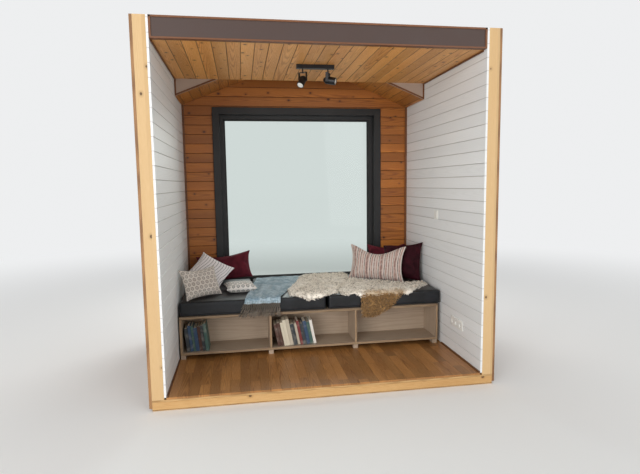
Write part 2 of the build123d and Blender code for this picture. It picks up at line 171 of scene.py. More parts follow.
lamps = (
    ("room_lamp_left", (-5.2, -8.2, 2.0), (0.3, 0.3, 1.25), 5.0, 545),
    ("room_lamp_right", (4.4, -8.8, 2.6), (-0.2, 0.3, 1.1), 5.0, 190),
    ("window_lamp", (0.4, 2.9, 2.5), (-0.1, -0.1, 0.6), 1.8, 62),
)
for name, place, aim, size, power in lamps:
    facing = (Vector(aim) - Vector(place)).to_track_quat("-Z", "Y")
    bpy.ops.object.light_add(type="AREA", location=place, rotation=facing.to_euler())
    lamp = bpy.context.object
    lamp.name, lamp.data.size, lamp.data.energy, lamp.visible_camera = name, size, power, False


# Floor. A closed cassette of joists between two sheets carries oak strips 71 mm wide, laid
# tight from front to back with their ends staggered and their long edges eased.
def work_on(piece):
    """Makes one piece the only selected and active one."""
    bpy.ops.object.select_all(action="DESELECT")
    piece.select_set(True)
    bpy.context.view_layer.objects.active = piece


def settled(piece, matrix=None):
    """Puts a piece's place, turn and scale in its mesh, after moving it where that is asked."""
    if matrix:
        piece.matrix_world = matrix
    work_on(piece)
    bpy.ops.object.transform_apply(location=True, rotation=True, scale=True)
    return piece


def cast(add, name, **settings):
    """A primitive by itself, with its place in its mesh."""
    bpy.ops.object.select_all(action="DESELECT")
    add(**settings)
    bpy.context.object.name = name
    return settled(bpy.context.object)


def block(name, low, high):
    """A square block between two corners."""
    size = Vector(high) - Vector(low)
    return cast(bpy.ops.mesh.primitive_cube_add, name, size=1, location=Vector(low) + size / 2, scale=size)


def shaped(piece, kind, **settings):
    """Gives a piece one modifier and applies it."""
    work_on(piece)
    modifier = piece.modifiers.new(kind.title(), kind)
    for name, value in settings.items():
        setattr(modifier, name, value)
    bpy.ops.object.modifier_apply(modifier=modifier.name)
    return piece


def eased(piece, size, segments=2, angle=30):
    """Rounds a piece's sharp edges over."""
    return shaped(
        piece, "BEVEL", width=size, segments=segments, limit_method="ANGLE",
        angle_limit=math.radians(angle), harden_normals=False,
    )


def arrayed(piece, count, step):
    """Repeats a piece, each copy a step from the last."""
    return shaped(
        piece, "ARRAY", count=count, use_relative_offset=False, use_constant_offset=True,
        constant_offset_displace=step,
    )


def joined(name, parts):
    """Makes one piece of several."""
    bpy.ops.object.select_all(action="DESELECT")
    for part in parts:
        part.select_set(True)
    bpy.context.view_layer.objects.active = parts[0]
    if len(parts) > 1:
        bpy.ops.object.join()
    parts[0].name = name
    return parts[0]


def picked(piece, mode, test):
    """Opens a piece in edit mode with only the faces or edges that pass a test selected."""
    work_on(piece)
    mesh = piece.data
    for group in (mesh.vertices, mesh.edges, mesh.polygons):
        group.foreach_set("select", [False] * len(group))
    for element in mesh.edges if mode == "EDGE" else mesh.polygons:
        if mode == "EDGE":
            ends = [mesh.vertices[i].co for i in element.vertices]
            element.select = test((ends[0] + ends[1]) / 2, (ends[1] - ends[0]).normalized())
        else:
            element.select = test(element.center, element.normal)
    bpy.context.tool_settings.mesh_select_mode = (False, mode == "EDGE", mode == "FACE")
    bpy.ops.object.mode_set(mode="EDIT")


def closed():
    """Closes edit mode."""
    bpy.ops.object.mode_set(mode="OBJECT")


def in_full(piece, operator, **settings):
    """Runs an edit operator on all of a piece."""
    work_on(piece)
    bpy.ops.object.mode_set(mode="EDIT")
    bpy.ops.mesh.select_all(action="SELECT")
    operator(**settings)
    closed()
    return piece


X, Y, Z = range(3)


def laid_boards(name, low, high, stack, board, face, joint):
    """Boards side by side along one axis, the long edges on their face side eased.

    The first is added as a block, and the others are arrayed from it a hair apart. The face
    side is 1, 2 or 3 for x, y or z, and below zero where it looks that way.
    """
    end = list(high)
    end[stack] = low[stack] + board - 0.0006
    first = block(name, low, end)
    side = (high if face > 0 else low)[abs(face) - 1]
    run = 3 - stack - (abs(face) - 1)

    def on_face(middle, way):
        return abs(middle[abs(face) - 1] - side) < 1e-5 and abs(way[run]) > 0.9

    picked(first, "EDGE", on_face)
    bpy.ops.mesh.bevel(offset=joint, segments=1)
    closed()
    count = math.ceil((high[stack] - low[stack]) / board - 1e-6)
    return arrayed(first, count, [board if axis == stack else 0.0 for axis in range(3)])


def trimmed(piece, node_name):
    """Cuts a piece to the outline of a CAD node."""
    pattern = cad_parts[node_name].copy()
    pattern.data = pattern.data.copy()
    pattern.parent = None
    bpy.context.scene.collection.objects.link(pattern)
    in_full(pattern, bpy.ops.mesh.remove_doubles, threshold=0.00001)
    shaped(piece, "BOOLEAN", operation="INTERSECT", object=pattern, solver="EXACT")
    bpy.data.objects.remove(pattern)
    return piece


def new_finish(name):
    """An empty finish, its nodes, and the place of each point on the piece."""
    made = bpy.data.materials.new(name)
    made.use_nodes = True
    return made, made.node_tree, node(made.node_tree, "TexCoord")["Object"]


def surfaced(made, colour, gloss, height, depth, strength=1.0, **others):
    """Completes a finish with its colour, its roughness, a relief as deep as a depth in
    metres, and what other sockets take."""
    tree = made.node_tree
    normal = node(tree, "Bump", {"Height": height, "Distance": depth, "Strength": strength})[0]
    sockets = {"Base Color": colour, "Roughness": gloss, "Normal": normal, **others}
    feed(tree, tree.nodes["Principled BSDF"].inputs, sockets)
    return made


def wood(
    name, run, stack, board, start, dark, light, knots=0.0, tone=0.2, length=None, gloss=0.5,
    ring=0.006, depth=0.0004, force=1.0, groove=0.0, groove_dust_and_shade="2a1408",
):
    """A board finish: each board its own tone, growth bands along it, fibres and knots, a dark
    joint at each board end, and dust and painted shade along the long edges."""
    end_joint, stretch = 0.0015, 0.07
    made, tree, place = new_finish(name)
    place = place.parts()
    along, across = place[run], place[stack] - start
    number = math.floor(across / board)
    if length:
        shift = node(tree, "TexWhiteNoise", {"W": number}, noise_dimensions="1D")[0]
        pieces = along / length + shift * 7.0
        number = number * 17.0 + math.floor(pieces)
        joint = pieces % 1.0 < end_joint / length
    luck = node(tree, "TexWhiteNoise", {"W": number}, noise_dimensions="1D")
    moved = luck[0] * 9.0
    grain_across = across + moved
    grain = {0: grain_across, 1: along * stretch, 2: place[3 - run - stack] + moved}
    grain = node(tree, "CombineXYZ", grain)[0]
    heart = node(tree, "SeparateColor", {0: luck["Color"]})
    off_centre = across / board % 1.0 - 0.5
    sideways = (heart[0] * 1.5 + (off_centre - 0.75)) * board
    beneath = along * 0.022 + heart[1].spread(0.0, 1.0, 0.02, 0.07)
    from_heart = (sideways * sideways + beneath * beneath).step("SQRT") + grain.clouds(22.0, 1.0) * (ring * 3.0)
    bands = (from_heart * (2 * math.pi / ring)).step("SINE").spread(-1.0, 1.0)
    bands = bands * bands
    fibres = grain.clouds(260.0, 3.0, Roughness=0.65)
    figure = grain.clouds(9.0) * 0.62 + (bands * 0.3 + fibres * 0.38)
    colour = figure.spread(0.35, 0.95, 0.5 - force / 2, 0.5 + force / 2).blend(paint(light), paint(dark))
    shade = luck[0].spread(0.0, 1.0, 1.0 - tone, 1.0 + tone * 0.4)
    shade = node(tree, "CombineColor", {0: shade, 1: shade, 2: shade})[0]
    colour = node(tree, "Mix", {0: 1.0, 6: colour, 7: shade}, data_type="RGBA", blend_type="MULTIPLY")[2]
    height = fibres * -0.5 + bands * -0.12
    if knots:
        spots = node(tree, "CombineXYZ", {0: grain_across, 1: along * 0.75 + moved})[0]
        eyes = node(tree, "TexVoronoi", {"Vector": spots, "Scale": 7.0}, voronoi_dimensions="2D")
        chance = node(tree, "SeparateColor", {0: eyes["Color"]})
        size = (chance[0] < knots) * chance[1].spread(0, 1, 0.035, 0.085)
        inside = size - eyes["Distance"]
        eye, halo = inside.spread(0.0, 0.03), inside.spread(-0.09, 0.03, 0.0, 0.55) * (size > 0.01)
        colour = (eye * 0.85).blend(halo.blend(colour, paint(dark, 0.7)), paint("3a1c0c"))
        height = height - eye
    # Painted shade and dust along each board's long edges, darkest at the joint.
    if groove:
        shadow = abs(off_centre).spread(0.5 - groove / board, 0.5 - groove * 0.4 / board, 0.0, 0.72)
        colour = shadow.blend(colour, paint(groove_dust_and_shade))
    if length:
        colour = (joint * 0.75).blend(colour, paint("2c1a10"))
        height = height - joint
    return surfaced(made, colour, fibres.spread(0.3, 0.7, gloss - 0.07, gloss + 0.1), height, depth, 0.6)


def ready(piece, body, slot, *finishes):
    """Gives a piece its finish and the body that it rides on; the slot is not used."""
    if finishes:
        piece.data.materials.clear()
        for finish in finishes:
            piece.data.materials.append(finish)
    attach(piece, body)
    return piece


def refinished(finish, *node_names):
    """Gives CAD nodes a better finish."""
    for node_name in node_names:
        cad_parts[node_name].data.materials.clear()
        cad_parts[node_name].data.materials.append(finish)


floor_low, floor_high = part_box("floor_planks")
oak_strip = (floor_high.x - floor_low.x) / 32
oak = wood(
    "oak_floor", Y, X, oak_strip, floor_low.x, "7d4e25", "ba854b", tone=0.3, length=0.48, gloss=0.36,
    ring=0.0045, depth=0.0003,
)
strips = laid_boards("floor_strips", floor_low, floor_high, X, oak_strip, 3, 0.0007)
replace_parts(ready(strips, "bay", "oak_floor", oak), "floor_planks")

spruce = wood("sawn_spruce", X, Z, 0.5, 0.0, "a9793f", "d9b27a", knots=0.35, tone=0.1, gloss=0.7)
sheet_edge = wood("spruce_sheet", X, Z, 0.0045, 0.0, "8f6a3c", "cda772", tone=0.45, gloss=0.75)
low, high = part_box("floor_cassette")
top_sheet, bottom_sheet, rim, joist_count = 0.015, 0.009, 0.045, 5
under, over = low.z + bottom_sheet, high.z - top_sheet
sheets = [block("sheet", (low.x, low.y, over), high), block("sheet", low, (high.x, high.y, under))]
sheets = eased(joined("floor_sheets", sheets), 0.001, 1)
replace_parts(ready(sheets, "bay", "sheathing", sheet_edge), "floor_cassette")
joists = []
for i in range(joist_count):
    x = low.x + i * (high.x - low.x - rim) / (joist_count - 1)
    joists.append(block("joist", (x, low.y + rim, under), (x + rim, high.y - rim, over)))
for y in (low.y, high.y - rim):
    joists.append(block("rim", (low.x, y, under), (high.x, y + rim, over)))
ready(eased(joined("floor_joists", joists), 0.0015, 1), "bay", "sheathing", spruce)


# Walls. Timber cores carry tongue-and-groove boards 92 mm wide inside: white on the sides,
# oiled pine round the window. Upright larch boards, screwed on, clad them outside.
timber = dict(dark="bb9460", light="d8b98c", knots=0.22, tone=0.08, gloss=0.7, force=0.6)
stud = wood("stud_timber", Z, X, 0.3, 0.02, **timber)
level_stud = wood("level_timber", X, Z, 0.3, 0.02, **timber)
refinished(stud, "end_wall_piers", "left_bay_wall", "right_bay_wall", "left_room_wall", "right_room_wall")
refinished(level_stud, "end_wall_sill", "end_wall_gable")


def boarded(name, parts, node_name, slot, finish):
    """Puts boards in the place of a CAD node, cut to its outline."""
    piece = trimmed(joined(name, parts), node_name)
    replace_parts(ready(piece, "bay", slot, finish), node_name)


def left_and_right(near, far, low, high):
    """For the left and the right side, its sign and two corners: they are so far from the
    middle, with their y and z as given."""
    for side in (-1, 1):
        inner, outer = sorted((side * near, side * far))
        yield side, (inner, *low), (outer, *high)


hair = 0.0002
behind = Vector((0, hair, 0))
board_width, board_joint = 0.092, 0.0028
pine_look = dict(knots=0.6, gloss=0.42, groove=0.0036)
oiled_pine = wood("oiled_pine_level", X, Z, board_width, 0.09, "7e4314", "b7702a", **pine_look)
low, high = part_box("end_wall_lining")
boards = laid_boards("end_boards", low + behind, high - behind, Z, board_width, -2, board_joint)
boarded("end_wall_boards", [boards], "end_wall_lining", "pine_boards", oiled_pine)

white_paint = wood(
    "white_boards", Y, Z, board_width, 0.09, "d9dad9", "e8e9e9", tone=0.04, gloss=0.5, ring=0.008,
    depth=0.0003, force=0.5, groove=0.003, groove_dust_and_shade="a6a29d",
)
low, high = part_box("side_linings")
lining_face = high.x - 0.015
sides = left_and_right(lining_face + hair, high.x - hair, low.yz, high.yz)
boards = [laid_boards("boards", *ends, Z, board_width, -side, board_joint) for side, *ends in sides]
boarded("side_wall_boards", boards, "side_linings", "white_boards", white_paint)


def smooth(piece, angle=60):
    """Shades a piece smoothly over all but its sharp edges."""
    work_on(piece)
    bpy.ops.object.shade_smooth_by_angle(angle=math.radians(angle))
    return piece


bead = 0.012
bead_start = (low.y + hair, floor_high.z + hair)
bead_end = (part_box("bench_base")[0].y - 0.002, floor_high.z + bead)
beads = []
for side, *ends in left_and_right(lining_face - bead, lining_face - hair, bead_start, bead_end):
    beads.append(block("bead", *ends))
    picked(beads[-1], "EDGE", lambda at, way: abs(at.x) < lining_face - bead + 1e-4 and at.z > bead_end[1] - 0.002)
    bpy.ops.mesh.bevel(offset=bead * 0.75, segments=5)
    closed()
bead_oak = wood("bead_oak", Y, Z, 0.5, 0.0, "4d2e18", "7a5130", tone=0.1, gloss=0.45, ring=0.004)
ready(smooth(joined("floor_beads", beads), 40), "bay", "oak_floor", bead_oak)

larch_width, larch_joint, larch_thick = 0.121, 0.004, 0.02
larch = dict(dark="6d4a2e", light="a57a4e", knots=0.22, tone=0.28, gloss=0.62)
ends_low, ends_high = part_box("end_cladding")
end_larch = wood("larch_end", Z, X, larch_width, ends_low.x, **larch)
boards = laid_boards("larch", ends_low + behind, ends_high - behind, X, larch_width, 2, larch_joint)
boarded("end_cladding_boards", [boards], "end_cladding", "outer_boards", end_larch)
sides_low, sides_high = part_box("side_claddings")
side_larch = wood("larch_side", Z, Y, larch_width, sides_low.y, **larch)
sides = left_and_right(sides_high.x - larch_thick + hair, sides_high.x - hair, sides_low.yz, sides_high.yz)
boards = [laid_boards("larch", *ends, Y, larch_width, side, larch_joint) for side, *ends in sides]
boarded("side_cladding_boards", boards, "side_claddings", "outer_boards", side_larch)


def coated(name, colour, worn, gloss, speck=420.0, depth=0.00008, metal=0.0, tint=0.25):
    """A sprayed or brushed coat: faint clouds of a second tone, fine orange peel, uneven gloss."""
    made, tree, place = new_finish(name)
    patches, peel = place.clouds(5.0, 5.0, Roughness=0.6), place.clouds(speck)
    share = patches.spread(0.35, 0.7) * tint + peel.spread(0.55, 0.75, 0.0, tint * 0.6)
    uneven = patches.spread(0.3, 0.7, gloss - 0.06, gloss + 0.08)
    return surfaced(made, share.blend(paint(colour), paint(worn)), uneven, peel, depth, Metallic=metal)


def turned(degrees, axis):
    """A turn about an axis."""
    return Matrix.Rotation(math.radians(degrees), 4, axis)


def sunk(piece, test, *insets, **more):
    """Insets the faces that pass a test, each time by a width and a depth."""
    picked(piece, "FACE", test)
    for thickness, depth in insets:
        bpy.ops.mesh.inset(thickness=thickness, depth=depth, **more)
    closed()
    return piece


def cylinder(name, facets, radius, depth, **where):
    """A round bar or disc, upright unless it is turned."""
    round_add = bpy.ops.mesh.primitive_cylinder_add
    return cast(round_add, name, vertices=facets, radius=radius, depth=depth, **where)


def screw_rows(start, facing, columns, rows):
    """Rows of countersunk screw heads, each with a round driver hole, a hair proud."""
    head = cylinder("screws", 8, 0.0036, 0.0016)
    sunk(head, lambda at, normal: normal.z > 0.9, (0.0020, 0.0), (0.0003, -0.0008))
    arrayed(arrayed(head, columns, (larch_width, 0, 0)), rows, (0, screw_lift, 0))
    return settled(head, Matrix.Translation(start) @ turned(facing, "Z") @ turned(90, "X"))


screw_edge, screw_foot, screw_lift = 0.03, 0.12, 0.31
side_count = int((sides_high.y - sides_low.y) / larch_width)
end_count = int((ends_high.x - ends_low.x) / larch_width)
beside_casing = int((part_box("outer_casing")[0].x - ends_low.x - 0.02) / larch_width)
screws = []
for aside in (screw_edge, larch_width - screw_edge):
    last = sides_low.y + aside + larch_width * (side_count - 1)
    for side, y in ((-1, last), (1, sides_low.y + aside)):
        start = (side * sides_high.x, y, sides_low.z + screw_foot)
        screws.append(screw_rows(start, 90 * side, side_count, 7))
    last = ends_low.x + aside + larch_width * (end_count - 1)
    screws.append(screw_rows((last, ends_high.y, screw_foot), 180, end_count, 1))
    for x in (last, ends_low.x + aside + larch_width * (beside_casing - 1)):
        screws.append(screw_rows((x, ends_high.y, screw_foot + screw_lift), 180, beside_casing, 6))
screw_steel = coated("screw_steel", "a9a9a6", "7f7f7c", 0.35, metal=1.0)
ready(joined("cladding_screws", screws), "bay", "black_metal", screw_steel)


# Loft. Joists under a deck of sheets carry a ceiling of honey pine boards 95 mm wide, and
# a grey-brown painted beam with thin pine trims closes the front.
ceiling_low, ceiling_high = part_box("loft_ceiling")
ceiling_width = (ceiling_high.x - ceiling_low.x) / 24
honey_pine = wood("honey_pine", Y, X, ceiling_width, ceiling_low.x, "b8732f", "f0b266", **pine_look)
ceiling = laid_boards("ceiling_boards", ceiling_low, ceiling_high, X, ceiling_width, -3, board_joint)
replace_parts(ready(ceiling, "bay", "pine_ceiling", honey_pine), "loft_ceiling")

refinished(wood("joist_timber", X, Y, 0.4, 0.0, **timber), "loft_joists")
low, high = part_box("loft_floor")
deck_sheet = (high.x - low.x) / 4
deck_ply = wood("loft_deck_ply", Y, X, deck_sheet, low.x, "b98d57", "ddb987", knots=0.12, tone=0.1, gloss=0.6)
deck = laid_boards("loft_deck_sheets", low, high, X, deck_sheet, 3, 0.0015)
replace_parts(ready(deck, "bay", "sheathing", deck_ply), "loft_floor")

brushed = dict(speck=300.0, depth=0.00012)
refinished(coated("grey_paint", "ab9789", "bba799", 0.5, **brushed), "roof_end_boards")
refinished(coated("beam_paint", "402f29", "4d3931", 0.55, **brushed), "loft_beam")
pine_trim = wood("pine_trim", X, Z, 0.5, 0.0, "5a3216", "7f4d26", tone=0.1, gloss=0.45, ring=0.004)
refinished(pine_trim, "loft_beam_trim")


# Bay roof. Two sloping slabs meet at a ridge: oiled pine boards below, dark standing-seam
# sheet above with a folded ridge cap, and painted boards on the gable's edge.
def cut_off(piece, point, outwards):
    """Cuts a piece off flat at a point."""
    return in_full(piece, bpy.ops.mesh.bisect, plane_co=point, plane_no=outwards, use_fill=True, clear_outer=True)


def mirrored(piece):
    """A copy of a piece on the other side of the middle, facing outwards."""
    made = piece.copy()
    made.data = piece.data.copy()
    bpy.context.scene.collection.objects.link(made)
    settled(made, Matrix.Scale(-1, 4, (1, 0, 0)))
    return in_full(made, bpy.ops.mesh.normals_make_consistent, inside=False)


roof_pitch = 22
level_share = math.cos(math.radians(roof_pitch))


def both_slopes(name, piece, thick, high):
    """Lays a piece on the right slope, cuts its ends upright and adds the left slope's."""
    ridge = Matrix.Translation((0, 0, high.z - thick / level_share))
    settled(piece, ridge @ turned(roof_pitch, "Y"))
    cut_off(piece, (0, 0, 0), (-1, 0, 0))
    cut_off(piece, (high.x, 0, 0), (1, 0, 0))
    return joined(name, [piece, mirrored(piece)])


spare = 0.02
low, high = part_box("bay_soffits")
soffit_thick = 0.015
far_end = (high.x / level_share + spare, high.y, soffit_thick)
soffit = laid_boards("soffit", (0, low.y, 0), far_end, X, board_width, -3, board_joint)
soffits = both_slopes("soffit_boards", soffit, soffit_thick, high)
soffit_pine = wood("oiled_pine_soffit", Y, X, board_width * level_share, 0.0, "8e5220", "c8853c", **pine_look)
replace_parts(ready(soffits, "bay", "pine_soffit", soffit_pine), "bay_soffits")
refinished(level_stud, "roof_left", "roof_right")

covering_low, covering_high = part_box("roof_covering")
covering_thick, sheet_thick, seam_width, seam_pitch = 0.02, 0.002, 0.006, 0.155
run = covering_high.x / level_share + spare
cover = [block("cover", (0, covering_low.y, 0), (run, covering_high.y, sheet_thick))]
y = covering_low.y
while y < covering_high.y:
    cover.append(block("seam", (0, y, 0), (run, y + seam_width, covering_thick - 0.002)))
    y += seam_pitch
covering = both_slopes("roof_sheets", joined("cover", cover), covering_thick, covering_high)
roof_metal = coated("roof_metal", "33373b", "4a4f54", 0.42, metal=0.6)
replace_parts(ready(covering, "bay", "roof_metal", roof_metal), "roof_covering")
refinished(roof_metal, "ridge_cap")
anthracite = coated("anthracite", "141415", "1e1d1e", 0.5)
refinished(anthracite, "verge_boards")
refinished(wood("end_board_pine", X, Z, board_width, 0.09, "99602c", "cf9658", knots=0.4), "loft_end_board")

low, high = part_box("roof_end_boards")
strip_wide, strip_proud = 0.014, 0.004
top, out, proud = ceiling_low.z, high.x - hair, low.y - strip_proud
run = (top - low.z) / math.tan(math.radians(roof_pitch))
slant = block("strip", (-0.015, 0, 0), (run / level_share + 0.015, strip_proud, strip_wide))
settled(slant, Matrix.Translation((high.x - run, proud, top)) @ turned(roof_pitch, "Y"))
cut_off(slant, (out, 0, 0), (1, 0, 0))
cut_off(slant, (0, 0, top - hair), (0, 0, 1))
wall_strip = block("strip", (high.x - strip_wide, proud, low.z + strip_wide), (out, low.y, top - hair))
wall_bead = eased(block("bead", (high.x - bead, ceiling_low.y, top - bead), (out, proud, top - hair)), 0.004, 3)
strips = [slant, wall_strip, wall_bead]
strips += [mirrored(piece) for piece in strips]
low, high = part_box("loft_beam_trim")
beam_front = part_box("loft_beam")[0].y
strips.append(block("strip", (low.x + hair, low.y, high.z - bead), (high.x - hair, beam_front, high.z)))
ready(eased(joined("pine_strips", strips), 0.0008, 1), "bay", "pine_ceiling", pine_trim)

low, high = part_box("roof_right")
flashing = 0.0016
sides = left_and_right(high.x, high.x + flashing, low.yz, (high.y, covering_low.z + sheet_thick))
eaves = [block("flashing", *ends) for side, *ends in sides]
ready(eased(joined("eaves_flashing", eaves), 0.0004, 1), "bay", "roof_metal", roof_metal)


# Picture window. Anthracite casing boards and reveal, a fixed frame behind them, and a
# sealed double pane held by black gaskets; outside, a casing with a sloping sill.
refinished(anthracite, "window_casing", "window_frame", "outer_casing")
pane, tree, place = new_finish("window_pane")
facing = node(tree, "LayerWeight", {"Blend": 0.35})["Fresnel"]
clear = node(tree, "BsdfTransparent", {"Color": paint("eef3f1")})[0]
shine = node(tree, "BsdfGlossy", {"Color": paint("ffffff"), "Roughness": 0.03})[0]
share = facing * place.clouds(2.0).spread(0.3, 0.7, 0.12, 0.15)
shown = node(tree, "MixShader", {0: share, 1: clear, 2: shine})[0]
feed(tree, tree.nodes["Material Output"].inputs, {"Surface": shown})
refinished(pane, "window_glass")
low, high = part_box("window_glass")
rebate, gasket, lip = 0.012, 0.006, 0.004
x, z0, z1 = high.x - rebate, low.z + rebate, high.z - rebate
gaskets = []
for y in (low.y - lip, high.y):
    for x0, x1, base, top in (
        (-x, x, z0, z0 + gasket), (-x, x, z1 - gasket, z1),
        (-x, gasket - x, z0 + gasket, z1 - gasket), (x - gasket, x, z0 + gasket, z1 - gasket),
    ):
        gaskets.append(block("gasket", (x0, y, base), (x1, y + lip, top)))
rubber = coated("gasket_rubber", "151515", "222222", 0.7)
ready(eased(joined("window_gaskets", gaskets), 0.0012, 2), "bay", "anthracite", rubber)
trim_upright = wood("trim_upright", Z, X, 0.5, 0.0, "4c2b12", "7a4a22", knots=0.1, tone=0.1, gloss=0.45)
refinished(trim_upright, "corner_trims")


# Bench. Birch ply boards 18 mm thick, glued and screwed into three open cubbies on short
# feet, their cut edges showing the layers.
def ply(name, run, stack):
    """Oiled birch ply, its face grain along one axis."""
    return wood(name, run, stack, 0.61, 0.0, "988470", "b6a28c", tone=0.08, ring=0.022, force=0.7)


def ply_boards(name, parts, thin, face_finish, edge_finish):
    """Boards of a bench node, their edges eased and finished as cut ply."""
    piece = eased(joined(name.replace("bench", "ply"), parts), 0.0012)
    for finish in (face_finish, edge_finish):
        piece.data.materials.append(finish)
    for face in piece.data.polygons:
        face.material_index = 0 if abs(face.normal[thin]) > 0.9 else 1
    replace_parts(ready(piece, "bay", "birch_ply"), name)


ply_level, ply_upright = ply("birch_ply_level", X, Y), ply("birch_ply_upright", Z, Y)
ply_cross = ply("birch_ply_back", X, Z)
ply_layers = dict(board=0.0045, start=0.0, dark="705840", light="ab9070", tone=0.4, gloss=0.6)
edge_level = wood("ply_edge_level", X, Z, **ply_layers)
edge_upright = wood("ply_edge_upright", Z, X, **ply_layers)
for name in ("bench_top", "bench_base"):
    ply_boards(name, [block("board", *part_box(name))], Z, ply_level, edge_level)
top_low, top_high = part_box("bench_top")
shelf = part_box("bench_base")[1].z
ply_thick, bench_bays = top_high.z - top_low.z, 3
bay_pitch = (top_high.x - top_low.x - ply_thick) / bench_bays
(rise_low, rise_high), (back_low, back_high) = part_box("bench_uprights"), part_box("bench_backs")
uprights, backs = [], []
for i in range(bench_bays + 1):
    x = rise_low.x + i * bay_pitch
    uprights.append(block("upright", (x, *rise_low.yz), (x + ply_thick, *rise_high.yz)))
    if i < bench_bays:
        backs.append(block("back", (x + ply_thick, *back_low.yz), (x + bay_pitch, *back_high.yz)))
ply_boards("bench_uprights", uprights, X, ply_upright, edge_upright)
ply_boards("bench_backs", backs, Y, ply_cross, edge_level)
refinished(ply_upright, "bench_feet")


# Books. Cloth-bound books lean in the middle cubby and at the left one's end: two boards
# and a rounded spine round a block of pages that stands a little back from their edges.
def cloth_board(name, colour):
    """Book cloth of one colour, worn paler in patches."""
    made, tree, place = new_finish(name)
    pale = place.clouds(24.0, 4.0).spread(0.5, 0.8, 0.0, 0.35).blend(paint(colour), paint("b9b0a2"))
    return surfaced(made, pale, 0.75, place.clouds(900.0, 1.0), 0.0002)


dyes = ("4a2f25", "c9c0ab", "b5ab98", "31363a", "6f2c2c", "2f4560", "d8d4cc", "3d5750")
cloths = [cloth_board(f"book_cloth_{i}", colour) for i, colour in enumerate(dyes)]
paper, tree, place = new_finish("book_paper")
leaves = node(tree, "TexWave", {"Vector": place, "Scale": 160.0, "Distortion": 1.5}, bands_direction="X")["Fac"]
surfaced(paper, leaves.blend(paint("cfc4ac"), paint("e8dfcb")), 0.85, leaves, 0.0002)


def book(place, thick, tall, deep, lean, cloth):
    """One book on its foot, spine to the room, leaning to the left."""
    board, page_inset, page_short = 0.0025, 0.003, 0.004
    parts = [
        block("cover", (0, 0, 0), (board, deep, tall)),
        block("cover", (thick - board, 0, 0), (thick, deep, tall)),
        eased(block("spine", (0, 0, 0), (thick, board * 1.6, tall)), board * 0.9, 3),
    ]
    cover = eased(joined("book_cover", parts), 0.0006, 1)
    cover.data.materials.append(cloths[cloth])
    page_end = (thick - board, deep - page_short, tall - page_inset)
    pages = block("book_pages", (board, board, page_inset), page_end)
    pages.data.materials.append(paper)
    return settled(joined("book", [cover, pages]), Matrix.Translation(place) @ turned(-lean, "Y"))


random.seed(7)
cubby_left = rise_low.x + ply_thick
rows = (
    (cubby_left + bay_pitch + 0.052, 11.0, (0, 0, 1, 1, 2, 3, 2, 4, 3, 5, 7, 6), 0.020, 0.034),
    (cubby_left + 0.034, 6.0, (3, 5, 7, 5, 0, 3, 7), 0.018, 0.03),
)
lift, between = 0.0005, 0.0012
books = []
for x, lean, order, thinnest, thickest in rows:
    for cloth in order:
        thick = random.uniform(thinnest, thickest)
        tall, deep = random.uniform(0.185, 0.235), random.uniform(0.135, 0.165)
        setback = random.uniform(0.022, 0.04)
        books.append(book((x, top_low.y + setback, shelf + lift), thick, tall, deep, lean, cloth))
        x += (thick + between) / math.cos(math.radians(lean))
ready(joined("books", books), "bay", "print_cotton")


# Seat pads. Three foam slabs in embossed dark leatherette, each cover boxed round its
# sides and closed with a stitched welt along its top and bottom edges.
def plumped(piece, pressure, cap, steps=20, stiff=15.0, bend=0.5):
    """Fills a closed cover out from inside, each point moving no further than a cap."""
    start = [point.co.copy() for point in piece.data.vertices]
    work_on(piece)
    filling = piece.modifiers.new("Filling", "CLOTH")
    filling.settings.use_pressure = True
    filling.settings.uniform_pressure_force = pressure
    filling.settings.effector_weights.gravity = 0
    filling.settings.tension_stiffness = stiff
    filling.settings.compression_stiffness = stiff
    filling.settings.bending_stiffness = bend
    for step in range(1, steps + 1):
        bpy.context.scene.frame_set(step)
    bpy.ops.object.modifier_apply(modifier=filling.name)
    bpy.context.scene.frame_set(1)
    for point, first in zip(piece.data.vertices, start):
        move = point.co - first
        if move.length > cap:
            point.co = first + move * (cap / move.length)
    return piece


def held_in(piece, low, high):
    """Presses a soft piece flat where it meets its limits."""
    for point in piece.data.vertices:
        point.co = [min(max(point.co[i], low[i]), high[i]) for i in range(3)]
    return piece


def tube(name, points, radius, ring=False, sides=3):
    """A round cord along some points."""
    line = bpy.data.curves.new(name, "CURVE")
    line.dimensions = "3D"
    spline = line.splines.new("POLY")
    spline.points.add(len(points) - 1)
    for point, place in zip(spline.points, points):
        point.co = (*place, 1)
    spline.use_cyclic_u = ring
    line.bevel_depth, line.bevel_resolution, line.use_fill_caps = radius, sides, not ring
    cord = bpy.data.objects.new(name, line)
    bpy.context.scene.collection.objects.link(cord)
    work_on(cord)
    bpy.ops.object.convert(target="MESH")
    return bpy.context.object


def edge_loop(low, high, round_by, z, step=0.012):
    """Points round a rectangle with rounded corners at one height."""
    near, far = low.xy + Vector((round_by, round_by)), high.xy - Vector((round_by, round_by))
    points = []
    for x, y, turn in ((far.x, far.y, 0), (near.x, far.y, 90), (near.x, near.y, 180), (far.x, near.y, 270)):
        for part in range(5):
            angle = math.radians(turn + part * 22.5)
            points.append(Vector((x + round_by * math.cos(angle), y + round_by * math.sin(angle), z)))
    loop = []
    for first, second in zip(points, points[1:] + points[:1]):
        pieces = max(1, round((second - first).length / step))
        loop += [first.lerp(second, part / pieces) for part in range(pieces)]
    return loop


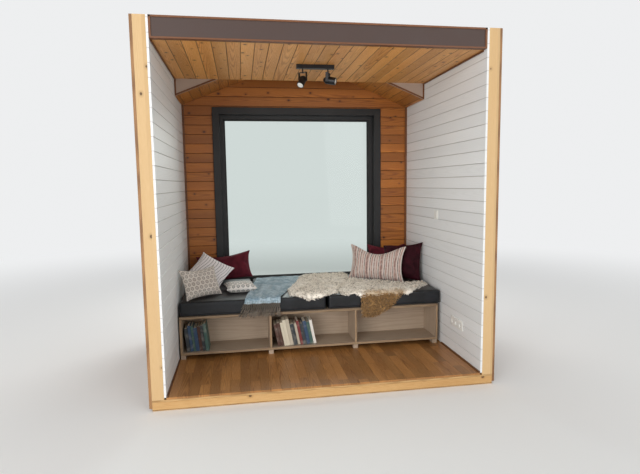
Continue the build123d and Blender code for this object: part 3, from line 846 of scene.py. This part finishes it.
leatherette, tree, place = new_finish("leatherette")
grain = node(tree, "TexVoronoi", {"Vector": place, "Scale": 210.0}, feature="SMOOTH_F1")["Distance"]
press = node(tree, "TexVoronoi", {"Vector": place, "Scale": 34.0}, feature="DISTANCE_TO_EDGE")["Distance"]
creases, line = place.clouds(7.0, 5.0, Distortion=0.6), press.spread(0.0, 0.05, 1.0, 0.0)
colour = creases.spread(0.45, 0.75).blend(paint("0f1114"), paint("1d2026"))
colour = (line * 0.5).blend(colour, paint("0e0f12"))
height = creases * 1.6 + (grain * -0.4 + line * -0.8)
dull = {"Specular IOR Level": 0.36}
surfaced(leatherette, colour, creases.spread(0.3, 0.7, 0.30, 0.44), height, 0.0016, 0.7, **dull)
welt_cord = coated("welt", "181b20", "252930", 0.5, speck=700.0)
pad_slack, welt_radius, welt_in = Vector((0.004, 0.004, 0.003)), 0.0026, 0.006
for side in ("left", "middle", "right"):
    low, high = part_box(f"seat_pad_{side}")
    pad = eased(block(f"pad_{side}", low + pad_slack, high - pad_slack), 0.010, 3)
    shaped(pad, "REMESH", mode="VOXEL", voxel_size=0.011, adaptivity=0)
    held_in(plumped(pad, 3.2, 0.009), low, high)
    shaped(pad, "SUBSURF", levels=1, render_levels=1)
    smooth(shaped(pad, "DECIMATE", decimate_type="COLLAPSE", ratio=0.34), 80)
    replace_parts(ready(pad, "bay", "pad_cover", leatherette), f"seat_pad_{side}")
    welts = []
    for z in (high.z - welt_in, low.z + welt_in):
        met = [pad.closest_point_on_mesh(point)[1:3] for point in edge_loop(low, high, 0.014, z)]
        welts.append(tube("welt", [spot + normal * 0.0004 for spot, normal in met], welt_radius, ring=True))
    ready(smooth(held_in(joined(f"welts_{side}", welts), low, high)), "bay", "pad_cover", welt_cord)


# Pillows. Sewn covers filled with feather: two panels seamed round their edge, full in the
# middle, drawn in along the sides and sharp at the corners, leaning on walls and each other.
def pillow(name, width, height, thick, dip=0.0, grid=44):
    """A filled cover lying flat, its map in step with the cloth."""
    fullness, drawn_in, unfilled, sag = 0.46, 0.07, 0.40, 0.12
    made = cast(bpy.ops.mesh.primitive_grid_add, name, x_subdivisions=grid, y_subdivisions=grid, size=1)
    shaped(made, "SOLIDIFY", thickness=0.004, offset=0)
    points = made.data.vertices
    for point in points:
        u, v = point.co.x * 2, point.co.y * 2
        swell = max(0.0, (1 - u * u) * (1 - v * v)) ** fullness
        point.co.x = width / 2 * u * (1 - drawn_in * (1 - v * v) * u * u)
        point.co.y = height / 2 * v * (1 - drawn_in * (1 - u * u) * v * v)
        point.co.z += math.copysign(thick * unfilled, point.co.z) * swell
    plumped(made, 5.0, 0.05 * min(width, height), stiff=8.0, bend=0.05)
    wide, tall, deep = (max(point.co[axis] for point in points) for axis in range(3))
    for point in points:
        point.co.x *= width / 2 / wide
        point.co.y *= height / 2 / tall
        point.co.z *= thick / 2 / deep
        u, v = point.co.x * 2 / width, point.co.y * 2 / height
        point.co.y -= dip * max(0.0, 1 - u * u) ** 2 * max(0.0, v + 0.2) ** 1.5
        lower = -v * (1 - u * u) * max(0.0, 1 - v * v)
        point.co.z += sag * thick * lower * (1 if point.co.z > 0 else -1)
    return smooth(shaped(made, "SUBSURF", levels=1, render_levels=1), 70)


def wave(along, pitch):
    """A sine with a pitch from one zero to the next."""
    return (along * (math.pi / pitch)).step("SINE")


def woven(name, width, height, thread):
    """A new finish for cloth on its own map, in metres: where a point is across it and up
    it, its threads over and under, its wrinkles, and its height."""
    made, tree, place = new_finish(name)
    flat = node(tree, "TexCoord")["UV"].parts()
    across, up = flat[0] * width, flat[1] * height
    weave, rumple = wave(across, thread) * wave(up, thread), place.clouds(16.0, 4.0, Distortion=0.4)
    return made, across, up, weave, rumple, rumple * 5.0 + weave * 0.5


def napped(made, colour, height, depth=0.0005, gloss=0.8, fuzz=0.15, fuzz_paint="ffffff", shine=0.5):
    """Completes a cloth finish with a nap that catches the light."""
    nap = {"Sheen Weight": fuzz, "Sheen Roughness": 0.45, "Sheen Tint": paint(fuzz_paint)}
    return surfaced(made, colour, gloss, height, depth, **nap, **{"Specular IOR Level": shine})


def velvet(name, deep, pale, fuzz):
    """Dark red cotton velvet, crushed darker and paler in patches."""
    made, across, up, weave, rumple, height = woven(name, 0.4, 0.38, 0.0012)
    colour = rumple.spread(0.35, 0.7).blend(paint(deep), paint(pale))
    colour = weave.spread(0.4, 1.0, 0.0, 0.35).blend(colour, paint("200409"))
    return napped(made, colour, height, gloss=0.75, fuzz=fuzz, fuzz_paint="8a3a4a", shine=0.15)


def striped(name, width, height):
    """Cream, rose and dark stripes woven up and down the pillow."""
    made, across, up, weave, rumple, bumps = woven(name, width, height, 0.0016)
    stripes = node(made.node_tree, "ValToRGB", {0: across / 0.148 % 1.0})[0]
    ramp = stripes.socket.node.color_ramp
    ramp.interpolation = "CONSTANT"
    stops = (
        (0.0, "c9beb5"), (0.07, "b28e83"), (0.15, "d2c8c0"), (0.22, "1c1517"), (0.26, "c0b1a8"),
        (0.33, "a98278"), (0.42, "21181a"), (0.455, "b89b90"), (0.54, "d5ccc5"), (0.61, "2a1e20"),
        (0.66, "c4b6ad"), (0.73, "ab867b"), (0.82, "d1c8c0"), (0.90, "3a2729"), (0.935, "b89f95"),
    )
    while len(ramp.elements) < len(stops):
        ramp.elements.new(0.5)
    for element, (place, colour) in zip(ramp.elements, stops):
        element.position = place
        element.color = paint(colour)
    picks = node(made.node_tree, "CombineXYZ", {0: across * 60.0, 1: up * 34.0})[0].clouds(1.0, 1.0)
    colour = picks.spread(0.50, 0.58, 0.0, 0.4).blend(stripes, paint("cfbfb5"))
    return napped(made, weave.spread(-1.0, 1.0, 0.0, 0.12).blend(colour, paint("8b7a70")), bumps)


def lined(name, width, height):
    """Off-white cotton with thin grey lines that wander up it."""
    made, across, up, weave, rumple, bumps = woven(name, width, height, 0.0014)
    lines = (across + (up * 21.0).step("SINE") * 0.013) / 0.026 % 1.0
    colour = across.spread(0.0, 0.4).blend(paint("f0eae8"), paint("e4e2e4"))
    return napped(made, ((lines < 0.17) * 0.8).blend(colour, paint("45444a")), bumps)


def dotted(name, width, height, cloth, ink):
    """Cotton printed with small rings and dots in offset rows."""
    made, across, up, weave, rumple, bumps = woven(name, width, height, 0.0014)
    row = up / 0.036
    x = (across / 0.042 + math.floor(row) % 2.0 * 0.5) % 1.0 - 0.5
    spot = node(made.node_tree, "CombineXYZ", {0: x, 1: (row % 1.0 - 0.5) * 0.86})[0]
    reach = node(made.node_tree, "VectorMath", {0: spot}, operation="LENGTH")["Value"]
    mark = (abs(reach - 0.28) < 0.07).step("MAXIMUM", reach < 0.1)
    colour = rumple.spread(0.3, 0.7).blend(paint(cloth), paint("d9d2c9"))
    return napped(made, (mark * 0.8).blend(colour, paint(ink)), bumps)


front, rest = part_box("seat_pad_left")[0].y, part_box("seat_pad_left")[1].z + 0.0003
dark_red = velvet("dark_velvet", "4d1622", "641f2c", 0.3)
# A darker copy of the dark velvet, with less sheen, for the pillow against the right wall: painted shade.
shaded_red = velvet("shaded_velvet", "25060d", "390c18", 0.03)
rings = dotted("print_dots", 0.36, 0.27, "cdc3b8", "6f6259")
lines = lined("lined_cotton", 0.34, 0.32)
stripes = striped("striped_weave", 0.58, 0.35)
pillows = (
    ("wall_side", -0.925, -0.05, 38, 24, 0, (0.36, 0.27, 0.09), 0.01, 0.0, "print_cotton", rings),
    ("lined", -0.858, 0.14, 14, 45, -40, (0.34, 0.32, 0.10), 0.0, 0.0, "lined_cotton", lines),
    ("dark_left", -0.788, 0.525, -4, 36, 7, (0.54, 0.30, 0.105), 0.02, 0.0, "dark_velvet", dark_red),
    ("dark_wall", 0.928, 0.3075, -36, 10, 0, (0.40, 0.38, 0.105), 0.015, 0.05, "dark_velvet", shaded_red),
    ("dark_back", 0.860, 0.4905, -10, 35, 0, (0.40, 0.38, 0.105), 0.02, 0.0, "dark_velvet", dark_red),
    ("striped", 0.675, 0.3275, -36, 12, 0, (0.58, 0.35, 0.105), 0.065, 0.0, "striped_weave", stripes),
)
room_low, room_high = (-1.1395, front, rest), (1.1395, 0.7525, 1.2)
for name, x, y, turn, lean, roll, (width, height, thick), dip, droop, slot, finish in pillows:
    stuffed = pillow(f"filled_{name}", width, height, thick, dip)
    for point in stuffed.data.vertices:
        corner = max(0.0, 0.2 - point.co.x * 2 / width) / 1.2 * max(0.0, 0.2 + point.co.y * 2 / height) / 1.2
        point.co.y -= droop * corner**1.5
    rolled = math.radians(abs(roll))
    rise = (width * math.sin(rolled) + height * math.cos(rolled)) / 2
    leant = turned(turn, "Z") @ turned(90 - lean, "X")
    stand = Matrix.Translation((x, y, rest)) @ leant @ Matrix.Translation((0, rise, 0)) @ turned(roll, "Z")
    held_in(settled(stuffed, stand), room_low, room_high)
    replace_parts(ready(stuffed, "bay", slot, finish), f"pillow_{name}")
lying = pillow("filled_lying", 0.27, 0.27, 0.085)
settled(lying, Matrix.Translation((-0.63, 0.16, rest + 0.0425)) @ turned(8, "Z"))
held_in(lying, room_low, room_high)
lying_print = dotted("print_rings", 0.27, 0.27, "e4e1dc", "3c4a44")
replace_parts(ready(lying, "bay", "print_cotton", lying_print), "pillow_lying")


# Throw. A knitted blanket lies across the pads and hangs over their front in soft folds,
# with a fringe of twisted yarn knotted into its end.
def new_piece(name, places, faces, shades=()):
    """A piece made of places and faces, each place with its shade."""
    mesh = bpy.data.meshes.new(name)
    mesh.from_pydata(places, [], faces)
    if shades:
        mesh.attributes.new("shade", "FLOAT", "POINT").data.foreach_set("value", shades)
    made = bpy.data.objects.new(name, mesh)
    bpy.context.scene.collection.objects.link(made)
    return made


def cloth_sheet(name, columns, rows, spot):
    """A sheet made row by row, its map running 0 to 1 across it and down it."""
    steps = [(column / columns, row / rows) for row in range(rows + 1) for column in range(columns + 1)]
    corners = [row * (columns + 1) + column for row in range(rows) for column in range(columns)]
    faces = [(a, a + columns + 1, a + columns + 2, a + 1) for a in corners]
    made = new_piece(name, [spot(*step) for step in steps], faces)
    layer = made.data.uv_layers.new(name="cut")
    for loop in made.data.loops:
        across, down = steps[loop.vertex_index]
        layer.data[loop.index].uv = (across, 1 - down)
    return made


throw_flat = (0.48, 0.99)
edge_round = 0.012
left_edge = (
    (0.6925, -0.46), (0.33, -0.515), (0.02, -0.548), (-0.08, -0.572), (front, -0.590), (front - 0.2, -0.655),
)
right_edge = ((0.7125, 0.0), (front, -0.297), (front - 0.2, -0.325))


def on_edge(edge, run):
    """Where an edge of the throw is when it has come a share of its way to the hem."""
    y = edge[0][0] + (front - 0.030 - edge[0][0]) * run
    for (y0, x0), (y1, x1) in zip(edge, edge[1:]):
        if y >= y1:
            return x0 + (x1 - x0) * (y - y0) / (y1 - y0), y
    return edge[-1][1], y


def laid(x, y, lift):
    """A point on the pads or, past their front edge, hanging down before it."""
    middle = front + edge_round
    past = middle - y
    if past <= 0:
        return Vector((x, y, rest + lift))
    angle = min(past / edge_round, math.pi / 2)
    reach = edge_round + lift
    down = max(0.0, past - edge_round * math.pi / 2)
    return Vector((x, middle - reach * math.sin(angle), rest - edge_round + reach * math.cos(angle) - down))


def throw_spot(across, down):
    """Where a point of the throw lies, in folds that gather towards its hem."""
    (x0, y0), (x1, y1) = on_edge(left_edge, down), on_edge(right_edge, down)
    x, y = x0 + (x1 - x0) * across, y0 + (y1 - y0) * across
    drift = 0.35 * math.sin(3.4 * down + 0.5) + 0.12 * noise.noise(Vector((across * 2.0, down * 4.0, 8.0)))
    swing = 0.5 + 0.5 * math.sin(2 * math.pi * (3.6 * across + drift))
    crease = noise.noise(Vector((across * 5.0 - down * 7.0, down * 3.0, 2.0)))
    fold = (0.003 + 0.014 * down**1.3) * swing**1.5 + 0.012 * max(0.0, crease) * (1 - 0.3 * down)
    ruck = 0.005 * max(0.0, math.sin(down * 26 + 3 * across + 2 * crease)) * min(1.0, 4 * (1 - down))
    ribs = math.sin(math.pi * across * throw_flat[0] / rib_width)
    rows = math.sin(math.pi * down * throw_flat[1] / rib_height)
    return laid(x, y, 0.0035 + fold + ruck + 0.0028 * abs(ribs * rows))


rib_width, rib_height = 0.021, 0.019
knit, across, up, weave, rumple, bumps = woven("throw_knit", *throw_flat, 0.004)
stitch = abs(across / 0.011 % 1.0 - 0.5)
yarn = abs(wave(up / 0.008 + stitch, 1.0)) * (stitch * 2.0).step("SQRT")
flecks = node(knit.node_tree, "TexCoord")["Object"].clouds(55.0)
rib_hollow_shade = abs(wave(across, rib_width)) * abs(wave(up, rib_height))
# The yarn's blue, darker where its relief sinks between stitches: painted shade.
colour = yarn.blend(paint("6b8694"), paint("b0c8d5"))
colour = rumple.spread(0.38, 0.62, 0.0, 0.75).blend(colour, paint("cfdfe7"))
colour = flecks.spread(0.45, 0.62, 0.0, 0.45).blend(colour, paint("54707f"))
# Painted shade in the hollows between the knit's ribs.
colour = rib_hollow_shade.spread(0.0, 0.5, 0.45, 0.0).blend(colour, paint("44565f"))
napped(knit, colour, yarn, 0.0025, gloss=0.9, fuzz=0.3, fuzz_paint="c8d4da")
throw = cloth_sheet("knitted_throw", 112, 208, throw_spot)
smooth(shaped(throw, "SOLIDIFY", thickness=0.005, offset=0), 70)
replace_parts(ready(throw, "bay", "blue_knit", knit), "throw")

yarns = [cloth_board("fringe_yarn_pale", "756a5d"), cloth_board("fringe_yarn_dark", "3f372f")]
random.seed(11)
cord_count, net_rows, net_step = 36, 4, 0.0125
hem = [throw_spot((i + 0.5) / cord_count, 0.985) for i in range(cord_count)]
hem_level = sum(root.z for root in hem) / cord_count
gap = (hem[-1].x - hem[0].x) / (cord_count - 1)
fringe_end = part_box("throw")[0].z - 0.006
strands, tassel_tops = [], []


def fringe_flare(share, down):
    """How far to the left the fringe has swung at a share of its width and a depth."""
    return -0.55 * down * (1 - 0.8 * share)


def twisted(strand, yarn):
    """Adds a strand or a knot of one yarn to the fringe."""
    strand.data.materials.append(yarns[yarn])
    strands.append(strand)


for i, root in enumerate(hem):
    share = i / (cord_count - 1)
    points = [root + Vector((0, 0.001, 0.004))]
    for row in range(1, net_rows + 1):
        down = net_step * row
        aside = gap * 0.46 * (1 if (row + i) % 2 else -1) + fringe_flare(share, down)
        points.append(Vector((root.x + aside, root.y - 0.0015, hem_level - down)))
    twisted(tube("strand", points, 0.0018, sides=1), 0)
    for row in range(1, net_rows + 1):
        if (row + i) % 2 and i < cord_count - 1:
            tied = dict(radius=0.0035, location=points[row] + Vector((0.0005, -0.0012, 0)), scale=(1, 0.8, 1.35))
            twisted(cast(bpy.ops.mesh.primitive_ico_sphere_add, "knot", subdivisions=1, **tied), 0)
    if (net_rows + i) % 2:
        tassel_tops.append((share, points[-1] + Vector((0.0005, -0.0005, 0))))
for share, top in tassel_tops:
    swing = random.uniform(-0.006, 0.006)
    for strand in range(9):
        drop = top.z - fringe_end - random.uniform(0.0, 0.018)
        fan = 0.0080 * (strand - 4) / 4 + random.uniform(-0.0020, 0.0020)
        proud = random.uniform(-0.0035, 0.0015)
        points = [top]
        for part in range(1, 7):
            down = part / 6
            aside = fan * min(1.0, 0.35 + down) + swing * down + 0.0017 * math.sin(part * 2.0 + strand * 1.7)
            aside += fringe_flare(share, drop * down)
            points.append(top + Vector((aside, proud * math.sin(down * 3.1), -drop * down)))
        twisted(tube("strand", points, random.uniform(0.0011, 0.0016), sides=1), (strand + 1) % 3 == 0)
fringe = joined("throw_fringe", strands)
ready(smooth(fringe, 80), "bay", "blue_knit")


# Fleeces. Two sheepskins, cream wool in tight curls on a thin hide, lie side by side on
# the pads with ragged edges.
def edge_distance(x, y, outline):
    """How far inside an outline a point is; outside is below zero."""
    nearest, inside = 1e9, False
    for (x0, y0), (x1, y1) in zip(outline, outline[1:] + outline[:1]):
        run = Vector((x1 - x0, y1 - y0))
        share = min(1.0, max(0.0, (Vector((x - x0, y - y0)) @ run) / run.length_squared))
        nearest = min(nearest, math.hypot(x - x0 - run.x * share, y - y0 - run.y * share))
        if (y0 > y) != (y1 > y) and x < x0 + (y - y0) * (x1 - x0) / (y1 - y0):
            inside = not inside
    return nearest if inside else -nearest


def tufts(name, roots, sides=4, parts=5):
    """Locks of wool or hair in one piece. Each root is a place, a way, a length, a radius,
    how wide it curls, and a shade that its points carry."""
    places, faces, shades = [], [], []
    luck_turn, winding = 40, 5.0
    for place, way, length, radius, curl, shade in roots:
        way = way.normalized()
        aside = way.orthogonal().normalized()
        third = way.cross(aside)
        first = len(places)
        for part in range(parts + 1):
            share = part / parts
            angle = shade * luck_turn + share * winding
            swerve = (aside * math.cos(angle) + third * math.sin(angle)) * (curl * share)
            middle = place + way * (length * share) + swerve
            thin = radius * (1 - 0.75 * share**1.5)
            for side in range(sides):
                around = 2 * math.pi * side / sides
                places.append(middle + (aside * math.cos(around) + third * math.sin(around)) * thin)
                # Each point's shade rises from root to tip, partly by each lock's luck: the finish paints shade at
                # the roots.
                shades.append(0.4 * shade + 0.6 * share)
        for part in range(parts):
            start = first + part * sides
            for side in range(sides):
                a, b = start + side, start + (side + 1) % sides
                faces.append((a, b, b + sides, a + sides))
        faces.append([first + side for side in reversed(range(sides))])
        faces.append([first + parts * sides + side for side in range(sides)])
    return new_piece(name, places, faces, shades)


def pelt_sheet(name, outline, cell, place):
    """A sheet cut in cells to an outline, each corner placed and given its shade."""
    (low_x, high_x), (low_y, high_y) = ((min(run) - 0.02, max(run) + 0.02) for run in zip(*outline))
    index, places, shades = {}, [], []
    for row in range(int((high_y - low_y) / cell) + 1):
        for column in range(int((high_x - low_x) / cell) + 1):
            x, y = low_x + column * cell, low_y + row * cell
            found = place(x, y, edge_distance(x, y, outline))
            if found:
                index[row, column] = len(places)
                places.append(found[0])
                shades.append(found[1])
    faces = []
    for row, column in index:
        corners = [(row, column), (row, column + 1), (row + 1, column + 1), (row + 1, column)]
        if all(corner in index for corner in corners):
            faces.append([index[corner] for corner in corners])
    return in_full(new_piece(name, places, faces, shades), bpy.ops.mesh.delete_loose)


def lumps(x, y, layer, scale):
    """Round lumps, 1 on top and 0 between them."""
    return 1 - min(1.0, noise.voronoi(Vector((x, y, layer)) * scale)[0][0]) ** 2


def woolly(x, y, inside):
    """A place on a fleece: lumps of wool that thin to a ragged edge."""
    ragged = inside + 0.012 * noise.noise(Vector((x * 34, y * 34, 0.0)))
    ragged += 0.022 * noise.noise(Vector((x * 11, y * 11, 6.0))) + 0.004
    if ragged < 0:
        return None
    rise = min(1.0, ragged / 0.05) ** 0.75
    lump, fine = lumps(x, y, 0.0, 40), lumps(x, y, 1.0, 110)
    roll = 0.5 + 0.5 * noise.noise(Vector((x * 9, y * 9, 3.0)))
    lift = rise * (0.008 + 0.007 * roll + 0.008 * lump + 0.003 * fine)
    swirl = 0.002 * noise.noise(Vector((x * 90, y * 90, 5.0)))
    # The shade is low between the lumps: painted shade in the hollows of the wool.
    return laid(x + swirl, y - swirl, 0.0037 + lift), 0.6 * lump + 0.4 * fine


def locks_on(name, skin, counts, lean_to, length, radius, curl, seed):
    """Locks rooted all over the outer side of a pelt and round its rim, each leaning its
    own way. The counts are those on the face and on the rim."""
    random.seed(seed)
    face_side, rim = [], []
    for face in skin.data.polygons:
        if abs(face.normal.z) < 0.5 and face.area < 0.00003:
            rim.append(face)
        elif face.normal.z > 0.02 or face.normal.y < -0.3:
            face_side.append(face)
    roots = []
    for i in range(sum(counts)):
        on_rim = i >= counts[0]
        face = random.choice(rim if on_rim else face_side)
        x, y, z = face.center
        turn = 7 * noise.noise(Vector((x * 13, y * 13 + z * 13, 4.0))) + random.uniform(-1.0, 1.0)
        aside = Vector((math.cos(turn), math.sin(turn), -0.15))
        if on_rim:
            way = face.normal + aside * 0.45 + Vector((0, 0, 0.25))
        else:
            way = face.normal * random.uniform(0.2, 0.8) + aside * 0.8
        reach = random.uniform(*length)
        thick = radius * random.uniform(0.75, 1.25)
        roots.append((face.center - face.normal * 0.001, way + lean_to, reach, thick, curl, random.random()))
    return tufts(name, roots)


def pelt(name, deep, pale, tip, browned=None):
    """Wool or hair: painted shade between the lumps and at the roots of the locks, pale on them,
    uneven over the hide, and tanned along one stretch of the front edge where that is asked."""
    made, tree, place = new_finish(name)
    shade = node(tree, "Attribute", attribute_name="shade")["Fac"]
    # Deep colour where the shade is low, between lumps and at the roots of locks: painted shade.
    colour = shade.spread(0.12, 0.72).blend(paint(deep), paint(pale))
    colour = place.clouds(14.0, 3.0).spread(0.42, 0.66, 0.0, 0.55).blend(colour, paint(tip))
    if browned:
        brown, start, end = browned
        x, y = place.parts()[0], place.parts()[1]
        near = y.spread(front - 0.005, front + 0.05, 0.7, 0.0) * x.spread(start, start + 0.06)
        colour = (near * x.spread(end - 0.06, end, 1.0, 0.0)).blend(colour, paint(brown))
    nap = {"Sheen Weight": 0.2, "Sheen Roughness": 0.5}
    return surfaced(made, colour, 0.9, place.clouds(420.0), 0.0012, **nap)


wool = pelt("sheep_wool", "786b59", "f6eee0", "fbf6ec", ("b08f5e", 0.40, 0.82))
fleeces = (
    ("middle", (
        (0.09, -0.004), (0.05, -0.022), (-0.06, -0.024), (-0.11, -0.004), (-0.195, 0.072), (-0.200, 0.242),
        (-0.135, 0.472), (0.012, 0.928), (0.15, 0.952), (0.45, 0.955), (0.46, 0.80), (0.425, 0.74),
        (0.430, 0.635), (0.345, 0.383), (0.240, 0.158), (0.180, 0.063),
    )),
    ("right", (
        (0.44, 0.635), (0.60, 0.52), (0.88, 0.315), (1.08, 0.315), (1.09, 0.28), (0.84, -0.004),
        (0.60, -0.012), (0.40, -0.012), (0.268, 0.002), (0.235, 0.083), (0.240, 0.153), (0.335, 0.378),
    )),
)
for name, places in fleeces:
    outline = [(x, front + y) for x, y in places]
    low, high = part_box(f"fleece_{name}")
    skin = pelt_sheet(f"sheepskin_{name}", outline, 0.0065, woolly)
    smooth(shaped(skin, "SOLIDIFY", thickness=0.003, offset=-1), 80)
    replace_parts(ready(skin, "bay", "fleece", wool), f"fleece_{name}")
    locks = locks_on(f"wool_{name}", skin, (2500, 500), Vector((0, -0.1, 0)), (0.018, 0.032), 0.0042, 0.0085, 23)
    ready(smooth(locks, 80), "bay", "fleece", wool)
    held_in(locks, (low.x - 0.012, front - 0.045, 0.52), (high.x + 0.012, high.y + 0.008, high.z + 0.008))
    for point in locks.data.vertices:
        if point.co.y > front - 0.001 and point.co.z < rest:
            point.co.z = rest
    around = zip(outline, outline[1:] + outline[:1])
    area = abs(sum(x0 * y1 - x1 * y0 for (x0, y0), (x1, y1) in around)) / 2


# Hide. The right fleece's tail hangs over the front of the pads, its wool golden brown and
# lying downwards.
def hanging(x, up, inside):
    """A place on the tail, which hangs a little proud of the pads in soft waves."""
    if inside + 0.006 * noise.noise(Vector((x * 45, up * 45, 0.0))) < 0:
        return None
    sway = 0.003 * (1 + math.sin(x * 42 + up * 9)) * min(1.0, (0.03 - up) / 0.12)
    lump = lumps(x, up, 0.0, 60)
    # The shade follows the lumps, low between them: painted shade.
    return laid(x, front - 0.006 + up, 0.0045 + sway + 0.003 * lump), lump


tail_outline = [(0.405, 0.03), (0.785, 0.03), (0.749, -0.01), (0.649, -0.12), (0.515, -0.192), (0.41, -0.187)]
hide = pelt_sheet("hide_tail", tail_outline, 0.006, hanging)
smooth(shaped(hide, "SOLIDIFY", thickness=0.003, offset=0), 80)
tail_hair = pelt("hide_hair", "3c2813", "a17b4a", "8a6638")
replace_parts(ready(hide, "bay", "hide_hair", tail_hair), "fleece_drop")
coat = locks_on("hide_coat", hide, (1700, 250), Vector((0, 0, -0.9)), (0.016, 0.028), 0.0032, 0.0062, 31)
low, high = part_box("fleece_drop")
held_in(coat, (low.x - 0.01, low.y - 0.008, low.z - 0.008), (high.x + 0.01, front + 0.03, high.z))
for point in coat.data.vertices:
    if point.co.z < rest and point.co.y > front - 0.001:
        point.co.y = front - 0.001
ready(smooth(coat, 80), "bay", "hide_hair", tail_hair)


# Spotlight. A black rail with two stems; each lamp's yoke turns on its stem and each turned
# head tilts between two screws, with a bezel and a frosted lens in its face.
black_metal = coated("black_metal", "141416", "232326", 0.38, metal=0.3)
refinished(black_metal, "spot_rail", "spot_yoke_left", "spot_yoke_right", "spot_head_left", "spot_head_right")
frosted, tree, place = new_finish("frosted_lens")
grain = place.clouds(900.0)
surfaced(frosted, grain.blend(paint("c9c9c4"), paint("f1efe8")), 0.35, grain, 0.0002, **{"Coat Weight": 0.5})
bright_steel = coated("bright_steel", "b5b5b3", "8d8d8b", 0.25, metal=1.0)
spot_y, pivot_z, rail_face = -0.3275, 2.3353, 2.4191
lens_rings = ((0.0035, 0.0006), (0.004, 0.0006), (0.004, 0.0006), (0.004, 0.0006))


def gripped(at, normal):
    """Every second face round a knob."""
    return abs(normal.z) < 0.5 and round(math.degrees(math.atan2(normal.y, normal.x)) / 18) % 2 == 0


for name, x, turn, tilt in (("left", -0.090, -40, 50), ("right", 0.110, 65, 12)):
    yoke_place = Matrix.Translation((x, spot_y, pivot_z)) @ turned(turn, "Z")
    head_place = yoke_place @ turned(tilt, "X") @ turned(90, "X")
    lens = cylinder(f"spot_lens_{name}", 48, 0.0235, 0.004, location=(0, 0, 0.0585))
    eased(sunk(lens, lambda at, normal: normal.z > 0.9, *lens_rings), 0.0004, 1, 20)
    bezel = cast(
        bpy.ops.mesh.primitive_torus_add, f"spot_bezel_{name}", major_radius=0.0242, minor_radius=0.0014,
        major_segments=48, minor_segments=8, location=(0, 0, 0.0615),
    )
    for piece, finish in ((lens, frosted), (bezel, bright_steel)):
        ready(smooth(settled(piece, head_place), 30), f"head_{name}", "black_metal", finish)
    knobs = []
    for side in (-1, 1):
        knob = cylinder("knob", 20, 0.0058, 0.0042)
        eased(sunk(knob, gripped, (0.0003, -0.0006), use_individual=True), 0.0004, 1, 40)
        knobs.append(settled(knob, yoke_place @ Matrix.Translation((side * 0.0371, 0, 0)) @ turned(90, "Y")))
    ready(smooth(joined(f"spot_knobs_{name}", knobs), 30), f"yoke_{name}", "black_metal", black_metal)
caps = []
for x in (-0.12, 0.01, 0.14):
    cap = cylinder("cap", 24, 0.0045, 0.002, location=(x, spot_y, rail_face))
    caps.append(eased(sunk(cap, lambda at, normal: normal.z < -0.9, (0.0018, -0.0008)), 0.0003, 1, 40))
ready(smooth(joined("spot_rail_screws", caps), 30), "bay", "black_metal", bright_steel)


# Wall plates. White moulded plastic, screwed to the wall: a rocker switch beside the bay and,
# low down, a triple socket with round wells, two pin holes and sprung earth clips in each.
plastic = coated("white_plastic", "e6e6e2", "d8d4c8", 0.28, speck=1200.0, depth=0.00002, tint=0.35)
shadow_gap = coated("socket_hole_shade", "1b1b1b", "2b2b2b", 0.6)
low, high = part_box("wall_switch")
rocker_stand, key = 0.004, 0.026
plate = eased(block("plate", (low.x + rocker_stand, low.y, low.z), high), 0.003, 3)
sunk(plate, lambda at, normal: normal.x < -0.999, (0.0085, 0), (0.0015, -0.0018))
y, z = (low.y + high.y) / 2, (low.z + high.z) / 2
rocker = block("rocker", (low.x + 0.0012, y - key, z - key), (high.x - 0.002, y + key, z + key))
picked(rocker, "FACE", lambda at, normal: normal.x < -0.9)
bpy.ops.transform.rotate(value=math.radians(-2.2), orient_axis="Y", center_override=(low.x, y, z))
closed()
switch = joined("rocker_switch", [plate, eased(rocker, 0.0012, 3)])
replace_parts(ready(smooth(switch, 35), "bay", "white_plastic", plastic), "wall_switch")

low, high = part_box("wall_socket")
socket = eased(block("triple_socket", low, high), 0.003, 3)
pitch, well_radius, well_depth, pin_radius, pin_depth, pin_out = 0.071, 0.0200, 0.0050, 0.0026, 0.0070, 0.0095
z = (low.z + high.z) / 2
wells = [(low.y + high.y) / 2 + step * pitch for step in (-1, 0, 1)]
pin = (pin_radius, pin_depth, 16)
drills = ((0.0, well_radius, well_depth, 48), (-pin_out, *pin), (pin_out, *pin))
clips = []
for y in wells:
    for aside, radius, depth, facets in drills:
        at, sideways = (low.x, y + aside, z), (0, math.radians(90), 0)
        drill = cylinder("drill", facets, radius, depth * 2, location=at, rotation=sideways)
        shaped(socket, "BOOLEAN", operation="DIFFERENCE", object=drill, solver="EXACT")
        bpy.data.objects.remove(drill)
    for clip_z in (z - 0.0178, z + 0.0178):
        clip_start = Vector((low.x + 0.0006, y - 0.0022, clip_z - 0.0016))
        clips.append(eased(block("clip", clip_start, clip_start + Vector((0.0046, 0.0044, 0.0032))), 0.0005))
eased(socket, 0.0006, 2, 50)
for finish in (plastic, shadow_gap):
    socket.data.materials.append(finish)
# Near-black faces deep in each pin hole: painted shade, as the holes are too shallow to go dark.
for face in socket.data.polygons:
    off_pin = min(math.hypot(abs(face.center.y - y) - pin_out, face.center.z - z) for y in wells)
    face.material_index = 1 if off_pin < pin_radius and face.center.x > low.x + 0.0045 else 0
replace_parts(ready(smooth(socket, 20), "bay", "white_plastic"), "wall_socket")
ready(joined("socket_clips", clips), "bay", "white_plastic", bright_steel)
